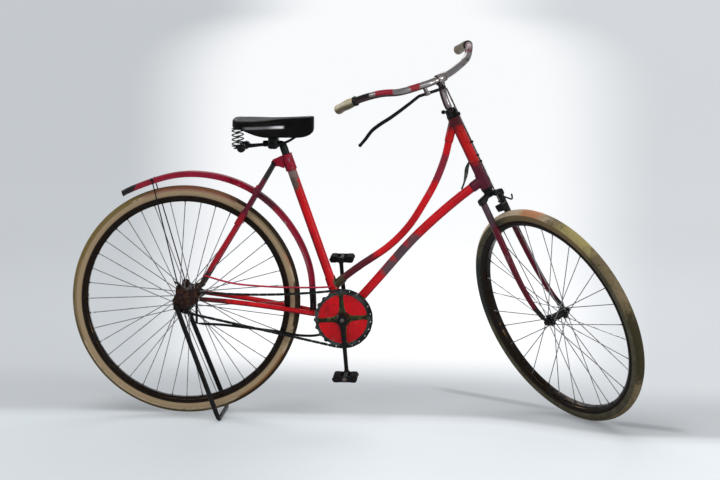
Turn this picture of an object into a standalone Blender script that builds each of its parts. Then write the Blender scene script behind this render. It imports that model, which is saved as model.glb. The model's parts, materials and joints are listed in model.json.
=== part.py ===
"""Loop-frame roadster bicycle, about 1910, standing on its rear stand.

Metres. The bicycle faces +X, its chain side is -Y, +Z is up and the floor is z = 0.
It is modelled with the rear axle above the origin, and its root empty then moves it so that
the bottom centre of its box is there. The front wheel is steered to the right, as it is parked.
"""

import math

import bmesh
import bpy
from mathutils import Matrix, Vector

# Fits
GAP = 0.0003            # between neighbouring solids
RUN = 0.0005            # running fit round an axle

# Wheels
TYRE_R = 0.3555         # outer radius of both tyres, 28 x 1 1/2
TYRE_HALF = 0.0185      # half width of a tyre
TYRE_DEEP = 0.0390      # from the rim's channel to the tread
TREAD_HALF = 0.0125     # half width of the tread
TREAD_FALL = 0.0045     # from the tread's middle to its edge
BEAD_HALF = 0.0120
WHEEL_STEPS = 36        # facets round a tyre and its rim
RIM_DEEP = 0.0105       # from the channel's floor to the inner crown
LIP_RISE = 0.0040       # lips above the channel's floor
RIM_FLANK = 0.0080      # foot of the rim's side above the inner crown
CROWN_HALF = 0.0085     # half width of the inner crown
RIM_HALF = 0.0165
RIM_WALL = 0.0020
RIM_SEAT = TYRE_R - TYRE_DEEP
RIM_LIP = RIM_SEAT + LIP_RISE
RIM_IN = RIM_SEAT - RIM_DEEP
SPOKE_R = 0.0012
SPOKE_SIDES = 3
CROSS = math.radians(58)        # a spoke's turn between hub and rim
LAY = 0.0015                    # half the space between crossing layers of spokes

REAR_Z = 0.3625         # height of the rear axle in the side view that the tables below are drawn in
REAR_SPOKES = 40
FRONT_SPOKES = 32

# Steering
HEAD = math.radians(64.2)       # head tube from the floor
STEER = math.radians(53.8)      # wheel turned to the right
RAKE = 0.0503                   # fork offset
AXIS_X = 1.1173                 # where the steering axis passes the hub's foot
FOOT_Z = 0.3211
HEAD_R = 0.0160
HEAD_LENGTH = 0.2320
STEERER_R = 0.0127
CROWN_ROOM = 0.0425             # from the tyre to the crown
CROWN_H = 0.0310
RACE_H = 0.0190                 # races between the crown and the head tube
CROWN_LOW = TYRE_R + CROWN_ROOM         # along the steering axis, up from the hub's foot
CROWN_TOP = CROWN_LOW + CROWN_H
HEAD_LOW = CROWN_TOP + RACE_H
HEAD_TOP = HEAD_LOW + HEAD_LENGTH

# Tubes of the frame
DOWN_R = 0.0140
LOOP_R = 0.0112
SEAT_R = 0.0140
POST_R = 0.0122
CHAIN_STAY_R = 0.0080
SEAT_STAY_R = 0.0075
LUG_WALL = 0.0022
SHELL_R = 0.0210                # bottom bracket shell
SHELL_HALF = 0.0340
SHELL_BORE = 0.0110

# Drive
PITCH = 0.0254
RING_TEETH = 22
COG_TEETH = 8
RING_WRAP = 12                  # chain pitches round the chainring
COG_WRAP = 4
STAY_ROOM = 0.1270              # from the tyre to the bottom bracket, about
RUN_LINKS = round((TYRE_R + STAY_ROOM) / PITCH)         # pitches in each straight run
CHAIN_Y = -0.0420
CHAIN_IN = 0.0028               # half the inner width
CHAIN_OUT = 0.0045              # half the outer width
CHAIN_H = 0.0033                # half the height of a link
BLOCK = 0.0040                  # half the length of a block
TOOTH_TOP = 0.0003              # tip of a tooth above the pitch line
TOOTH_FOOT = 0.0041             # root of a tooth below the pitch line
SAG = 0.0130                    # slack of the upper run
BB_DROP = 0.0462
CRANK = 0.1650
CRANK_TILT = math.radians(5.0)  # near crank forward of straight down
CRANK_Y = 0.0680                # middle of a crank arm

COG_HALF = CHAIN_IN - GAP       # half the thickness of the teeth
RING_PR = PITCH / (2 * math.sin(math.pi / RING_TEETH))
COG_PR = PITCH / (2 * math.sin(math.pi / COG_TEETH))
RING_END = math.pi / RING_TEETH * RING_WRAP     # half the wrapped angle
COG_END = math.pi / COG_TEETH * COG_WRAP

# Rear ends and stand
END_IN = 0.0600                 # inner face of the rear end plates
END_T = 0.0040
AXLE_R = 0.0048
STAND_R = 0.0062
STAND_PIN = (-0.0190, 0.3490)   # x, z
STAND_PIN_R = 0.0045
STAND_EYE_R = 0.0095
STAND_Y = 0.0735
STAND_FOOT = (0.1127, 0.0990)   # x, half width on the floor

# Axes of the steered pieces: forward, up the steering axis, to the right
UP = Vector((-math.cos(HEAD), 0, math.sin(HEAD)))
FWD = Vector((math.cos(STEER) * math.sin(HEAD), -math.sin(STEER), math.cos(STEER) * math.cos(HEAD)))
RIGHT = FWD.cross(UP)


FOOT = Vector((AXIS_X, 0, FOOT_Z))
REAR = Vector((0, 0, REAR_Z))
# the floor lies under the steered front wheel
LEAN = math.sqrt(1 - RIGHT.z ** 2)
FLOOR_Z = FOOT.z + RAKE * FWD.z - (TYRE_R - TYRE_HALF) * LEAN - TYRE_HALF
RUN_RISE = RING_PR * math.sin(RING_END) - COG_PR * math.sin(COG_END)
BB_DIST = (math.sqrt((RUN_LINKS * PITCH) ** 2 - RUN_RISE ** 2)
           - RING_PR * math.cos(RING_END) + COG_PR * math.cos(COG_END))
BB = Vector((math.sqrt(BB_DIST ** 2 - BB_DROP ** 2), 0, REAR_Z - BB_DROP))
SEAT_TOP = 0.5300               # along the seat tube, up from the bottom bracket
SEAT_DIR = Vector((-0.3361, 0, 0.9418)).normalized()

# Where the side view has the bottom bracket, the top of the seat tube and both ends of the head
# tube. What a table draws there moves with them.
BB_DRAWN = Vector((0.4900, 0, 0.3163))
SEAT_DRAWN = Vector((0.3119, 0, 0.8155))
HEAD_DRAWN = Vector((0.9223, 0, 0.7244))
HEAD_TOP_DRAWN = Vector((0.8213, 0, 0.9333))
BB_SHIFT = BB - BB_DRAWN
SEAT_SHIFT = BB + SEAT_TOP * SEAT_DIR - SEAT_DRAWN
HEAD_SHIFT = FOOT + HEAD_LOW * UP - HEAD_DRAWN
HEAD_TOP_SHIFT = FOOT + HEAD_TOP * UP - HEAD_TOP_DRAWN


def clear(radius, sides=10):
    """Corner radius of a faceted bore whose flats clear a round of this radius."""
    return (radius + GAP) / math.cos(math.pi / sides)


def steer(n, u, r=0.0):
    """Point of the steered assembly: forward, up the axis, to the right."""
    return FOOT + n * FWD + u * UP + r * RIGHT


def on_axis(k):
    return FOOT + k * UP


def clear_scene():
    for obj in list(bpy.data.objects):
        bpy.data.objects.remove(obj, do_unlink=True)
    for coll in list(bpy.data.collections):
        bpy.data.collections.remove(coll)


clear_scene()
PARTS = bpy.data.collections.new("bicycle")
CUTTERS = bpy.data.collections.new("cutters")
bpy.context.scene.collection.children.link(PARTS)
bpy.context.scene.collection.children.link(CUTTERS)

LOOKS = {
    "red": ((0.50, 0.010, 0.020), 0.0, 0.35),
    "black": ((0.012, 0.012, 0.013), 0.3, 0.45),
    "nickel": ((0.45, 0.44, 0.42), 1.0, 0.30),
    "steel": ((0.30, 0.30, 0.31), 1.0, 0.45),
    "tan": ((0.36, 0.29, 0.20), 0.0, 0.80),
    "rim": ((0.030, 0.022, 0.018), 0.2, 0.55),
    "leather": ((0.014, 0.012, 0.012), 0.0, 0.50),
    "cream": ((0.58, 0.50, 0.33), 0.0, 0.60),
    "rubber": ((0.020, 0.020, 0.020), 0.0, 0.75),
}


def finish_object(obj, look):
    """Give the object its own material and put it with the parts."""
    colour, metallic, roughness = LOOKS[look]
    mat = bpy.data.materials.new(obj.name)
    mat.use_nodes = True
    shader = mat.node_tree.nodes["Principled BSDF"]
    shader.inputs["Base Color"].default_value = (*colour, 1.0)
    shader.inputs["Metallic"].default_value = metallic
    shader.inputs["Roughness"].default_value = roughness
    mat.diffuse_color = (*colour, 1.0)
    obj.data.materials.clear()
    obj.data.materials.append(mat)
    PARTS.objects.link(obj)
    return obj


def as_cutter(obj):
    obj.hide_render = True
    obj.display_type = "WIRE"
    CUTTERS.objects.link(obj)
    return obj


def mesh_object(name, bm):
    bmesh.ops.recalc_face_normals(bm, faces=bm.faces)
    mesh = bpy.data.meshes.new(name)
    bm.to_mesh(mesh)
    bm.free()
    return bpy.data.objects.new(name, mesh)


def smooth(points, count):
    """Points along a smooth curve through the given ones, with count spans between each two."""
    pts = [Vector(p) for p in points]
    pts = [2 * pts[0] - pts[1]] + pts + [2 * pts[-1] - pts[-2]]
    out = []
    for a, b, c, d in zip(pts, pts[1:], pts[2:], pts[3:]):
        for i in range(count):
            t = i / count
            out.append(0.5 * (2 * b + (c - a) * t + (2 * a - 5 * b + 4 * c - d) * t * t
                              + (3 * b - a - 3 * c + d) * t ** 3))
    out.append(pts[-2])
    return out


def thin(points, limit=0.0004):
    """The points that a bent path needs, without those of its straight stretches."""
    kept = [points[0]]
    for p, after in zip(points[1:], points[2:]):
        chord = (after - kept[-1]).normalized()
        away = p - kept[-1]
        if (away - away.dot(chord) * chord).length > limit:
            kept.append(p)
    return kept + [points[-1]]


def rod(name, points, radius, sides=10, radii=None):
    """Round rod or tube along points, from a bevelled curve with filled ends."""
    curve = bpy.data.curves.new(name, "CURVE")
    curve.dimensions = "3D"
    curve.bevel_depth = radius
    curve.bevel_resolution = (sides - 4) // 2
    curve.use_fill_caps = True
    spline = curve.splines.new("POLY")
    spline.points.add(len(points) - 1)
    for k, p in enumerate(points):
        spline.points[k].co = (*p, 1.0)
        spline.points[k].radius = 1.0 if radii is None else radii[k] / radius
    source = bpy.data.objects.new(name + "_curve", curve)
    bpy.context.scene.collection.objects.link(source)
    bpy.context.view_layer.update()
    depsgraph = bpy.context.evaluated_depsgraph_get()
    mesh = bpy.data.meshes.new_from_object(source.evaluated_get(depsgraph))
    bpy.data.objects.remove(source, do_unlink=True)
    bm = bmesh.new()
    bm.from_mesh(mesh)
    bpy.data.meshes.remove(mesh)
    bmesh.ops.remove_doubles(bm, verts=bm.verts, dist=0.00001)
    return mesh_object(name, bm)


def frame_matrix(origin, axis, side=None):
    """Matrix whose Z is the axis."""
    z = Vector(axis).normalized()
    x = Vector(side) if side is not None else Vector((0, 1, 0)).cross(z)
    if x.length < 1e-6:
        x = Vector((1, 0, 0))
    x = (x - x.dot(z) * z).normalized()
    y = z.cross(x)
    m = Matrix((x, y, z)).transposed().to_4x4()
    m.translation = Vector(origin)
    return m


def lathe(name, origin, axis, profile, steps=24, closed=True):
    """Turned solid about the axis from (radius, height) points, by a Screw."""
    mesh = bpy.data.meshes.new(name)
    verts = [(r, 0, h) for r, h in profile]
    edges = [(k, k + 1) for k in range(len(verts) - 1)]
    if closed:
        edges.append((len(verts) - 1, 0))
    mesh.from_pydata(verts, edges, [])
    obj = bpy.data.objects.new(name, mesh)
    obj.matrix_world = frame_matrix(origin, axis)
    turn = obj.modifiers.new("turn", "SCREW")
    turn.axis = "Z"
    turn.angle = 2 * math.pi
    turn.steps = steps
    turn.render_steps = steps
    turn.use_merge_vertices = True
    turn.merge_threshold = 0.0001
    turn.use_normal_calculate = True
    turn.use_smooth_shade = False
    return obj


def solid_turn(name, origin, axis, spans, steps=24):
    """Turned solid from (height, radius) steps, closed on its axis."""
    profile = [(0.0, spans[0][0])]
    profile += [(r, h) for h, r in spans]
    profile.append((0.0, spans[-1][0]))
    return lathe(name, origin, axis, profile[::-1], steps, closed=False)


def ring_turn(name, origin, axis, spans, bore, steps=24):
    """Turned ring from (height, radius) steps with a straight bore."""
    profile = [(r, h) for h, r in spans]
    profile += [(bore, spans[-1][0]), (bore, spans[0][0])]
    return lathe(name, origin, axis, profile[::-1], steps)


def bake(obj):
    """The object's mesh with its modifiers and its place applied."""
    coll = bpy.context.scene.collection
    coll.objects.link(obj)
    bpy.context.view_layer.update()
    depsgraph = bpy.context.evaluated_depsgraph_get()
    mesh = bpy.data.meshes.new_from_object(obj.evaluated_get(depsgraph))
    mesh.transform(obj.matrix_world)
    name = obj.name
    bpy.data.objects.remove(obj, do_unlink=True)
    bm = bmesh.new()
    bm.from_mesh(mesh)
    bpy.data.meshes.remove(mesh)
    bmesh.ops.remove_doubles(bm, verts=bm.verts, dist=0.000005)
    return mesh_object(name, bm)


def combine(target, others, operation):
    """Exact Boolean of the target with each of the others in turn."""
    for k, other in enumerate(others):
        other.name = f"{target.name}_{operation.lower()}_{k}"
        other.parent = target
        as_cutter(other)
        mod = target.modifiers.new(f"{operation.lower()} {k}", "BOOLEAN")
        mod.operation = operation
        mod.object = other
        mod.solver = "EXACT"
    return target


def union(target, *others):
    return combine(target, others, "UNION")


def cut(target, *others):
    return combine(target, others, "DIFFERENCE")


def cylinder(name, a, b, radius, steps=12):
    """Plain cylinder between two points."""
    a, b = Vector(a), Vector(b)
    length = (b - a).length
    return bake(solid_turn(name, a, b - a, [(0.0, radius), (length, radius)], steps))


def prisms(name, lines, radius, sides):
    """Straight bars of a few sides in one mesh, from their two ends."""
    bm = bmesh.new()
    for a, b in lines:
        m = frame_matrix(a, b - a)
        turns = [2 * math.pi * k / sides for k in range(sides)]
        corners = [radius * Vector((math.cos(t), math.sin(t), 0)) for t in turns]
        end = Vector((0, 0, (b - a).length))
        low = [bm.verts.new(m @ p) for p in corners]
        high = [bm.verts.new(m @ (p + end)) for p in corners]
        bm.faces.new(low)
        bm.faces.new(high[::-1])
        for k in range(sides):
            j = (k + 1) % sides
            bm.faces.new((low[k], low[j], high[j], high[k]))
    return mesh_object(name, bm)


def box(name, centre, size, axes=None):
    """Box by its centre, size and axes (three vectors)."""
    bm = bmesh.new()
    bmesh.ops.create_cube(bm, size=1.0)
    x, y, z = axes if axes else (Vector((1, 0, 0)), Vector((0, 1, 0)), Vector((0, 0, 1)))
    m = Matrix((x * size[0], y * size[1], z * size[2])).transposed().to_4x4()
    m.translation = Vector(centre)
    bmesh.ops.transform(bm, matrix=m, verts=bm.verts)
    return mesh_object(name, bm)


def plate(name, outline, y_in, y_out):
    """Flat plate in the X-Z plane from an outline, between two Y values."""
    bm = bmesh.new()
    low = [bm.verts.new((x, y_in, z)) for x, z in outline]
    high = [bm.verts.new((x, y_out, z)) for x, z in outline]
    bm.faces.new(low)
    bm.faces.new(high[::-1])
    count = len(outline)
    for k in range(count):
        j = (k + 1) % count
        bm.faces.new((low[k], low[j], high[j], high[k]))
    return mesh_object(name, bm)


def between(rows, at):
    """Row of a table at a place in its first column, on the line between its two neighbours."""
    for low, high in zip(rows, rows[1:]):
        if at <= high[0]:
            break
    t = (at - low[0]) / (high[0] - low[0])
    return [a + (b - a) * t for a, b in zip(low, high)]


def drawn(points, start, end, fade=1):
    """Points of a line of the side view whose first and last one move by start and end.

    A higher fade takes more of the change near the start.
    """
    last = len(points) - 1
    return [Vector(p) + end.lerp(start, (1 - k / last) ** fade) for k, p in enumerate(points)]


NOT_MOVED = Vector((0, 0, 0))


# Frame tubes

# side view points of the two curved tubes, x and z
LOOP_LINE = [(0.8105, 0.8740), (0.7960, 0.8100), (0.7700, 0.7400), (0.7340, 0.6720), (0.6880, 0.6000),
             (0.6270, 0.5370), (0.5440, 0.4790), (0.5010, 0.4470), (0.4800, 0.4285)]
DOWN_LINE = [(0.8960, 0.7325), (0.8340, 0.6835), (0.7600, 0.6180), (0.6880, 0.5460), (0.5990, 0.4420),
             (0.5110, 0.3410)]


def side(points, y=0.0):
    return [Vector((x, y, z)) for x, z in points]


loop_pts = thin(smooth(drawn(side(LOOP_LINE), HEAD_TOP_SHIFT, BB_SHIFT, 3), 2))
down_pts = thin(smooth(drawn(side(DOWN_LINE), HEAD_SHIFT, BB_SHIFT), 2))


def socket_pair(name, points, radius, depth, reach):
    """Sleeve round the end of a tube, and the bore that takes it.

    The points follow the tube from its end to well past the sleeve.
    depth is how far the sleeve covers the tube, reach how far it runs on past its end.
    """
    points = [Vector(p) for p in points]
    end, inward = points[0], (points[1] - points[0]).normalized()
    sleeve = cylinder(name + "_sleeve", end + inward * depth, end - inward * reach, radius + LUG_WALL, 10)
    bore = rod(name + "_bore", [end - inward * GAP] + points[1:], clear(radius), 10)
    return sleeve, bore


loop_sleeve, loop_bore = socket_pair("loop_head", loop_pts[:3], LOOP_R, 0.016, 0.050)
down_sleeve, down_bore = socket_pair("down_head", down_pts[:3], DOWN_R, 0.022, 0.026)
head_rings = [(HEAD_LOW, HEAD_R + 0.0025), (HEAD_LOW + 0.012, HEAD_R + 0.0025), (HEAD_LOW + 0.014, HEAD_R),
              (HEAD_TOP - 0.014, HEAD_R), (HEAD_TOP - 0.012, HEAD_R + 0.0025), (HEAD_TOP, HEAD_R + 0.0025)]
head = bake(solid_turn("head_tube", FOOT, UP, head_rings, 14))
union(head, loop_sleeve, down_sleeve)
cut(head, loop_bore, down_bore,
    cylinder("head_bore", on_axis(HEAD_LOW - 0.01), on_axis(HEAD_TOP + 0.01), clear(STEERER_R, 12), 12))
finish_object(head, "red")

finish_object(rod("loop_tube", loop_pts, LOOP_R, 8), "red")
finish_object(rod("down_tube", down_pts, DOWN_R, 8), "red")

seat_foot = BB + SEAT_DIR * 0.0240
seat_top = BB + SEAT_DIR * SEAT_TOP
seat = cylinder("seat_tube", seat_foot, seat_top, SEAT_R, 12)
foot_sleeve, foot_bore = socket_pair("loop_foot", loop_pts[:-4:-1], LOOP_R, 0.014, 0.0205)
lug_mid = BB + SEAT_DIR * 0.1080
union(seat, cylinder("loop_lug", lug_mid - SEAT_DIR * 0.024, lug_mid + SEAT_DIR * 0.024,
                     SEAT_R + LUG_WALL, 14), foot_sleeve)
POST_DEEP = 0.1300              # of the post inside the seat tube
post_bore = cylinder("post_bore", BB + SEAT_DIR * (SEAT_TOP - POST_DEEP - 0.0400), seat_top + SEAT_DIR * 0.0100,
                     clear(POST_R, 12), 12)
cut(seat, foot_bore, post_bore)
finish_object(seat, "red")

# seat lug with the ear that the seat stays bolt to
EAR = Vector((0.2745, 0, 0.7905)) + SEAT_SHIFT
lug_low = BB + SEAT_DIR * (SEAT_TOP - 0.0500)
lug_high = BB + SEAT_DIR * (SEAT_TOP + 0.0020)
EAR_HALF = 0.0082
EAR_INNER = Vector((0.3080, 0, 0.7905)) + SEAT_SHIFT
ear_mid = (EAR + EAR_INNER) / 2
lug = cylinder("seat_lug", lug_low, lug_high, SEAT_R + GAP + 0.0030, 12)
union(lug, box("ear_block", ear_mid, (0.0500, EAR_HALF * 2, 0.0190)))
cut(lug, cylinder("lug_bore", lug_low - SEAT_DIR * 0.02, lug_high + SEAT_DIR * 0.02, SEAT_R + GAP, 12))
finish_object(lug, "red")

# bottom bracket shell with its sockets
shell_side = Vector((0, SHELL_HALF, 0))
shell = cylinder("bottom_bracket", BB - shell_side, BB + shell_side, SHELL_R, 16)
down_low_sleeve, down_low_bore = socket_pair("down_low", down_pts[:-4:-1], DOWN_R, 0.020, 0.016)
seat_low_sleeve, seat_low_bore = socket_pair("seat_low", [seat_foot, seat_top], SEAT_R, 0.020, 0.006)
shell_bore = cylinder("shell_bore", BB - shell_side * 1.2, BB + shell_side * 1.2, SHELL_BORE, 12)
union(shell, down_low_sleeve, seat_low_sleeve)
cut(shell, down_low_bore, seat_low_bore, shell_bore)
finish_object(shell, "red")

# chain stays and seat stays: x, half the spread, z from the rear
CHAIN_STAY_DRAWN = [(0.0493, 0.0620, 0.3745), (0.1400, 0.0520, 0.3660), (0.2500, 0.0416, 0.3520),
                    (0.3450, 0.0323, 0.3370), (0.4000, 0.0266, 0.3280), (0.4640, 0.0210, 0.3205)]
SEAT_STAY_DRAWN = [(0.0465, 0.0620, 0.4049), (0.1000, 0.0560, 0.4950), (0.1600, 0.0440, 0.5940),
                   (0.2244, 0.0360, 0.7030), (0.2640, 0.0176, 0.7700), (0.2735, 0.0176, 0.7860)]
CHAIN_STAY = drawn(CHAIN_STAY_DRAWN, NOT_MOVED, BB_SHIFT)
SEAT_STAY = drawn(SEAT_STAY_DRAWN, NOT_MOVED, SEAT_SHIFT)
STAY_CLIP = (0.1640, 0.1900)            # x of a seat stay's clip, its lower and upper end
CLIP_WALL = 0.0030


def both_sides(points, sign):
    """Smooth path of a piece on one side, from its points on the left."""
    return thin(smooth([(x, sign * y, z) for x, y, z in points], 2))


for name, sign in (("right", -1), ("left", 1)):
    stay = rod("chain_stay_" + name, both_sides(CHAIN_STAY, sign), CHAIN_STAY_R, 8)
    cut(stay, cylinder("stay_mitre", BB - Vector((0, 0.06, 0)), BB + Vector((0, 0.06, 0)), SHELL_R + GAP, 16))
    finish_object(stay, "red")
    stay = rod("seat_stay_" + name, both_sides(SEAT_STAY, sign), SEAT_STAY_R, 8)
    low, high = [Vector((x, sign * y, z)) for x, y, z in (between(SEAT_STAY, x) for x in STAY_CLIP)]
    union(stay, cylinder("stay_clip", low, high, SEAT_STAY_R + CLIP_WALL, 8))
    finish_object(stay, "red")

# rear end plates, x and z
END_OUTLINE = [(-0.0300, 0.3380), (-0.0080, 0.3400), (0.0150, 0.3480), (0.0480, 0.3650),
               (0.0480, 0.3835), (0.0380, 0.3880), (0.0533, 0.3997), (0.0387, 0.4083),
               (0.0100, 0.4000), (-0.0060, 0.4180), (-0.0220, 0.4140), (-0.0240, 0.3860), (-0.0320, 0.3660)]
for name, sign in (("right", -1), ("left", 1)):
    end = plate("rear_end_" + name, END_OUTLINE, sign * END_IN, sign * (END_IN + END_T))
    hole = cylinder("axle_hole", REAR + Vector((0, sign * 0.05, 0)), REAR + Vector((0, sign * 0.08, 0)),
                    AXLE_R + GAP, 10)
    pin = cylinder("stand_pin", (STAND_PIN[0], sign * (END_IN + END_T / 2), STAND_PIN[1]),
                   (STAND_PIN[0], sign * (STAND_Y + 0.0080), STAND_PIN[1]), STAND_PIN_R, 10)
    union(end, pin)
    cut(end, hole)
    finish_object(end, "black")

# Fixed axle of the rear wheel, with its nuts and cones
NUT = 0.0095
CONE = 0.0080
HUB_END = 0.0485
end_out = END_IN + END_T + GAP
half = [(-0.0745, AXLE_R), (-end_out - 0.0070, AXLE_R), (-end_out - 0.0070, NUT), (-end_out, NUT),
        (-end_out, AXLE_R), (-END_IN + GAP, AXLE_R), (-END_IN + GAP, CONE), (-HUB_END - 0.0015, CONE),
        (-HUB_END - 0.0015, AXLE_R)]
spans = half + [(-y, r) for y, r in half[::-1]]
finish_object(bake(solid_turn("rear_axle", REAR, (0, 1, 0), spans, 6)), "black")

# Stand: legs, foot bar and eyes
STAND_BEND = 0.020
leg_top = Vector((STAND_PIN[0], STAND_Y, STAND_PIN[1]))
leg_low = Vector((STAND_FOOT[0], STAND_FOOT[1], FLOOR_Z + STAND_R))
leg_dir = (leg_low - leg_top).normalized()
right_half = [leg_top + leg_dir * 0.004, leg_low - leg_dir * STAND_BEND, leg_low - leg_dir * STAND_BEND * 0.35
              - Vector((0, STAND_BEND * 0.06, 0)), leg_low - Vector((0, STAND_BEND * 0.5, 0)),
              leg_low - Vector((0, STAND_BEND, 0))]
stand_pts = right_half + [Vector((p.x, -p.y, p.z)) for p in right_half[::-1]]
stand = rod("stand", stand_pts, STAND_R, 8)
for sign in (-1, 1):
    a = Vector((STAND_PIN[0], sign * (STAND_Y - 0.0065), STAND_PIN[1]))
    b = Vector((STAND_PIN[0], sign * (STAND_Y + 0.0065), STAND_PIN[1]))
    union(stand, cylinder("stand_eye", a, b, STAND_EYE_R, 10))
for sign in (-1, 1):
    a = Vector((STAND_PIN[0], sign * (STAND_Y - 0.012), STAND_PIN[1]))
    b = Vector((STAND_PIN[0], sign * (STAND_Y + 0.012), STAND_PIN[1]))
    cut(stand, cylinder("eye_bore", a, b, STAND_PIN_R + RUN, 10))
finish_object(stand, "black")


# Wheels

def rim(name, centre, axis):
    flank = RIM_IN + RIM_FLANK
    outer = [(-RIM_HALF, RIM_LIP), (-RIM_HALF, flank), (-CROWN_HALF, RIM_IN), (CROWN_HALF, RIM_IN),
             (RIM_HALF, flank), (RIM_HALF, RIM_LIP)]
    channel = [(RIM_HALF - 2 * RIM_WALL, RIM_SEAT), (-RIM_HALF + 2 * RIM_WALL, RIM_SEAT)]
    profile = [(r, h) for h, r in outer + channel]
    finish_object(bake(lathe(name, centre, axis, profile, WHEEL_STEPS)), "rim")


def tyre(name, centre, axis):
    over_lip = RIM_LIP + 2 * GAP
    half = [(BEAD_HALF, RIM_SEAT + GAP), (RIM_HALF - GAP, over_lip), (TYRE_HALF, (RIM_SEAT + TYRE_R) / 2),
            (TREAD_HALF, TYRE_R - TREAD_FALL)]
    profile = [(r, h) for h, r in half] + [(TYRE_R, 0.0)] + [(r, -h) for h, r in half[::-1]]
    finish_object(bake(lathe(name, centre, axis, profile, WHEEL_STEPS)), "tan")


def spoked_hub(name, centre, axis, hub, bore, flange, flange_r, count, steps=14):
    """Hub barrel with crossed spokes that end just short of the rim's facets."""
    body = bake(ring_turn(name, centre, axis, hub, bore, steps))
    m = frame_matrix(centre, axis)
    facet = 2 * math.pi / WHEEL_STEPS
    wires = []          # both ends of each spoke
    for k in range(count):
        side_sign = 1 if k % 2 else -1
        layer = 1 if (k // 2) % 2 else -1
        angle = 2 * math.pi * k / count
        start = angle - layer * CROSS
        y0 = side_sign * flange + layer * LAY
        y1 = side_sign * 0.0060 + layer * LAY
        a = m @ Vector((flange_r * math.cos(start), flange_r * math.sin(start), y0))
        rim_r = RIM_IN * math.cos(facet / 2) / math.cos(angle % facet - facet / 2) - GAP
        b = m @ Vector((rim_r * math.cos(angle), rim_r * math.sin(angle), y1))
        wires.append((a, b))
    union(body, prisms(name + "_spokes", wires, SPOKE_R, SPOKE_SIDES))
    finish_object(body, "steel")


COG_SEAT = CHAIN_Y + COG_HALF + GAP
FLANGE_HALF = 0.0030            # half the thickness of a spoke flange
FLANGE_RIM = 0.0040             # of the flange outside the spoke holes
FLANGE_SLOPE = 0.0012           # from the flange's edge to its foot
REAR_FLANGE = 0.0300            # middle of a flange
REAR_SPOKE_R = 0.0200           # circle of the spoke holes
REAR_FLANGE_R = REAR_SPOKE_R + FLANGE_RIM
COG_BODY_R = 0.0165             # of the freewheel, inside the cog
COG_STEP_R = 0.0205
BARREL = 0.0170
flange_in, flange_out = REAR_FLANGE - FLANGE_HALF, REAR_FLANGE + FLANGE_HALF
REAR_HUB = [(-HUB_END, COG_BODY_R), (COG_SEAT, COG_BODY_R), (COG_SEAT, COG_STEP_R),
            (-flange_out - FLANGE_SLOPE, COG_STEP_R), (-flange_out, REAR_FLANGE_R), (-flange_in, REAR_FLANGE_R),
            (-flange_in + FLANGE_SLOPE, BARREL), (flange_in - FLANGE_SLOPE, BARREL), (flange_in, REAR_FLANGE_R),
            (flange_out, REAR_FLANGE_R), (flange_out + FLANGE_SLOPE, 0.0150), (HUB_END, 0.0130)]
rim("rear_rim", REAR, (0, 1, 0))
tyre("rear_tyre", REAR, (0, 1, 0))
spoked_hub("rear_hub", REAR, (0, 1, 0), REAR_HUB, AXLE_R + RUN, REAR_FLANGE, REAR_SPOKE_R, REAR_SPOKES)


# Chain drive

TOOTH_ROOT = 0.0072             # half the width of a tooth at its foot
TOOTH_TIP = 0.0032              # and at its tip


def toothed_outline(pitch_r, teeth, phase):
    """Outline of a sprocket's teeth, seen along Y, as distances and angles."""
    root, tip = pitch_r - TOOTH_FOOT, pitch_r + TOOTH_TOP
    step = 2 * math.pi / teeth
    points = []
    for k in range(teeth):
        mid = phase + (k + 0.5) * step
        for half_t, radius in ((-TOOTH_ROOT, root), (-TOOTH_TIP, tip), (TOOTH_TIP, tip), (TOOTH_ROOT, root)):
            points.append((radius, mid + half_t / radius))
    return points


drive_angle = math.atan2(-BB_DROP, BB.x)
ring_line = Vector((math.cos(drive_angle), 0, math.sin(drive_angle)))
ring_rise = Vector((-math.sin(drive_angle), 0, math.cos(drive_angle)))


def polar(centre, radius, angle, y):
    return centre + radius * (math.cos(angle) * ring_line + math.sin(angle) * ring_rise) + Vector((0, y, 0))


def toothed_plate(name, centre, pitch_r, teeth, phase, half_t):
    points = [polar(centre, r, a, 0) for r, a in toothed_outline(pitch_r, teeth, phase)]
    outline = [(p.x, p.z) for p in points]
    return plate(name, outline, CHAIN_Y - half_t, CHAIN_Y + half_t)


cog = toothed_plate("sprocket", REAR, COG_PR, COG_TEETH, COG_END, COG_HALF)
cut(cog, cylinder("cog_bore", REAR + Vector((0, CHAIN_Y - 0.01, 0)), REAR + Vector((0, CHAIN_Y + 0.01, 0)),
                  COG_BODY_R + GAP, 14))
finish_object(cog, "steel")

# chainring: toothed rim, dished web with raised ribs, and the boss that the crank seats on
WEB_STEP = 0.0051               # from the teeth's roots to the web's edge
WEB_R = RING_PR - TOOTH_FOOT - WEB_STEP
BOSS_R = 0.0200
RIB_END = 0.0040                # from a rib's end to the web's edge
CRANK_HALF = 0.0060
crank_in = CRANK_Y - CRANK_HALF
ring = toothed_plate("chainring", BB, RING_PR, RING_TEETH, RING_END, COG_HALF)
web = bake(solid_turn("ring_web", BB, (0, -1, 0), [(-CHAIN_Y - 0.0030, WEB_R), (-CHAIN_Y + 0.0040, WEB_R),
                                                   (-CHAIN_Y + 0.0040, WEB_R - 0.006),
                                                   (-CHAIN_Y + 0.0022, WEB_R - 0.008),
                                                   (-CHAIN_Y + 0.0022, BOSS_R + 0.004),
                                                   (-CHAIN_Y + 0.0060, BOSS_R),
                                                   (crank_in - GAP, BOSS_R - 0.002)], 20))
union(ring, web)
RIB_COUNT = 4
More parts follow.
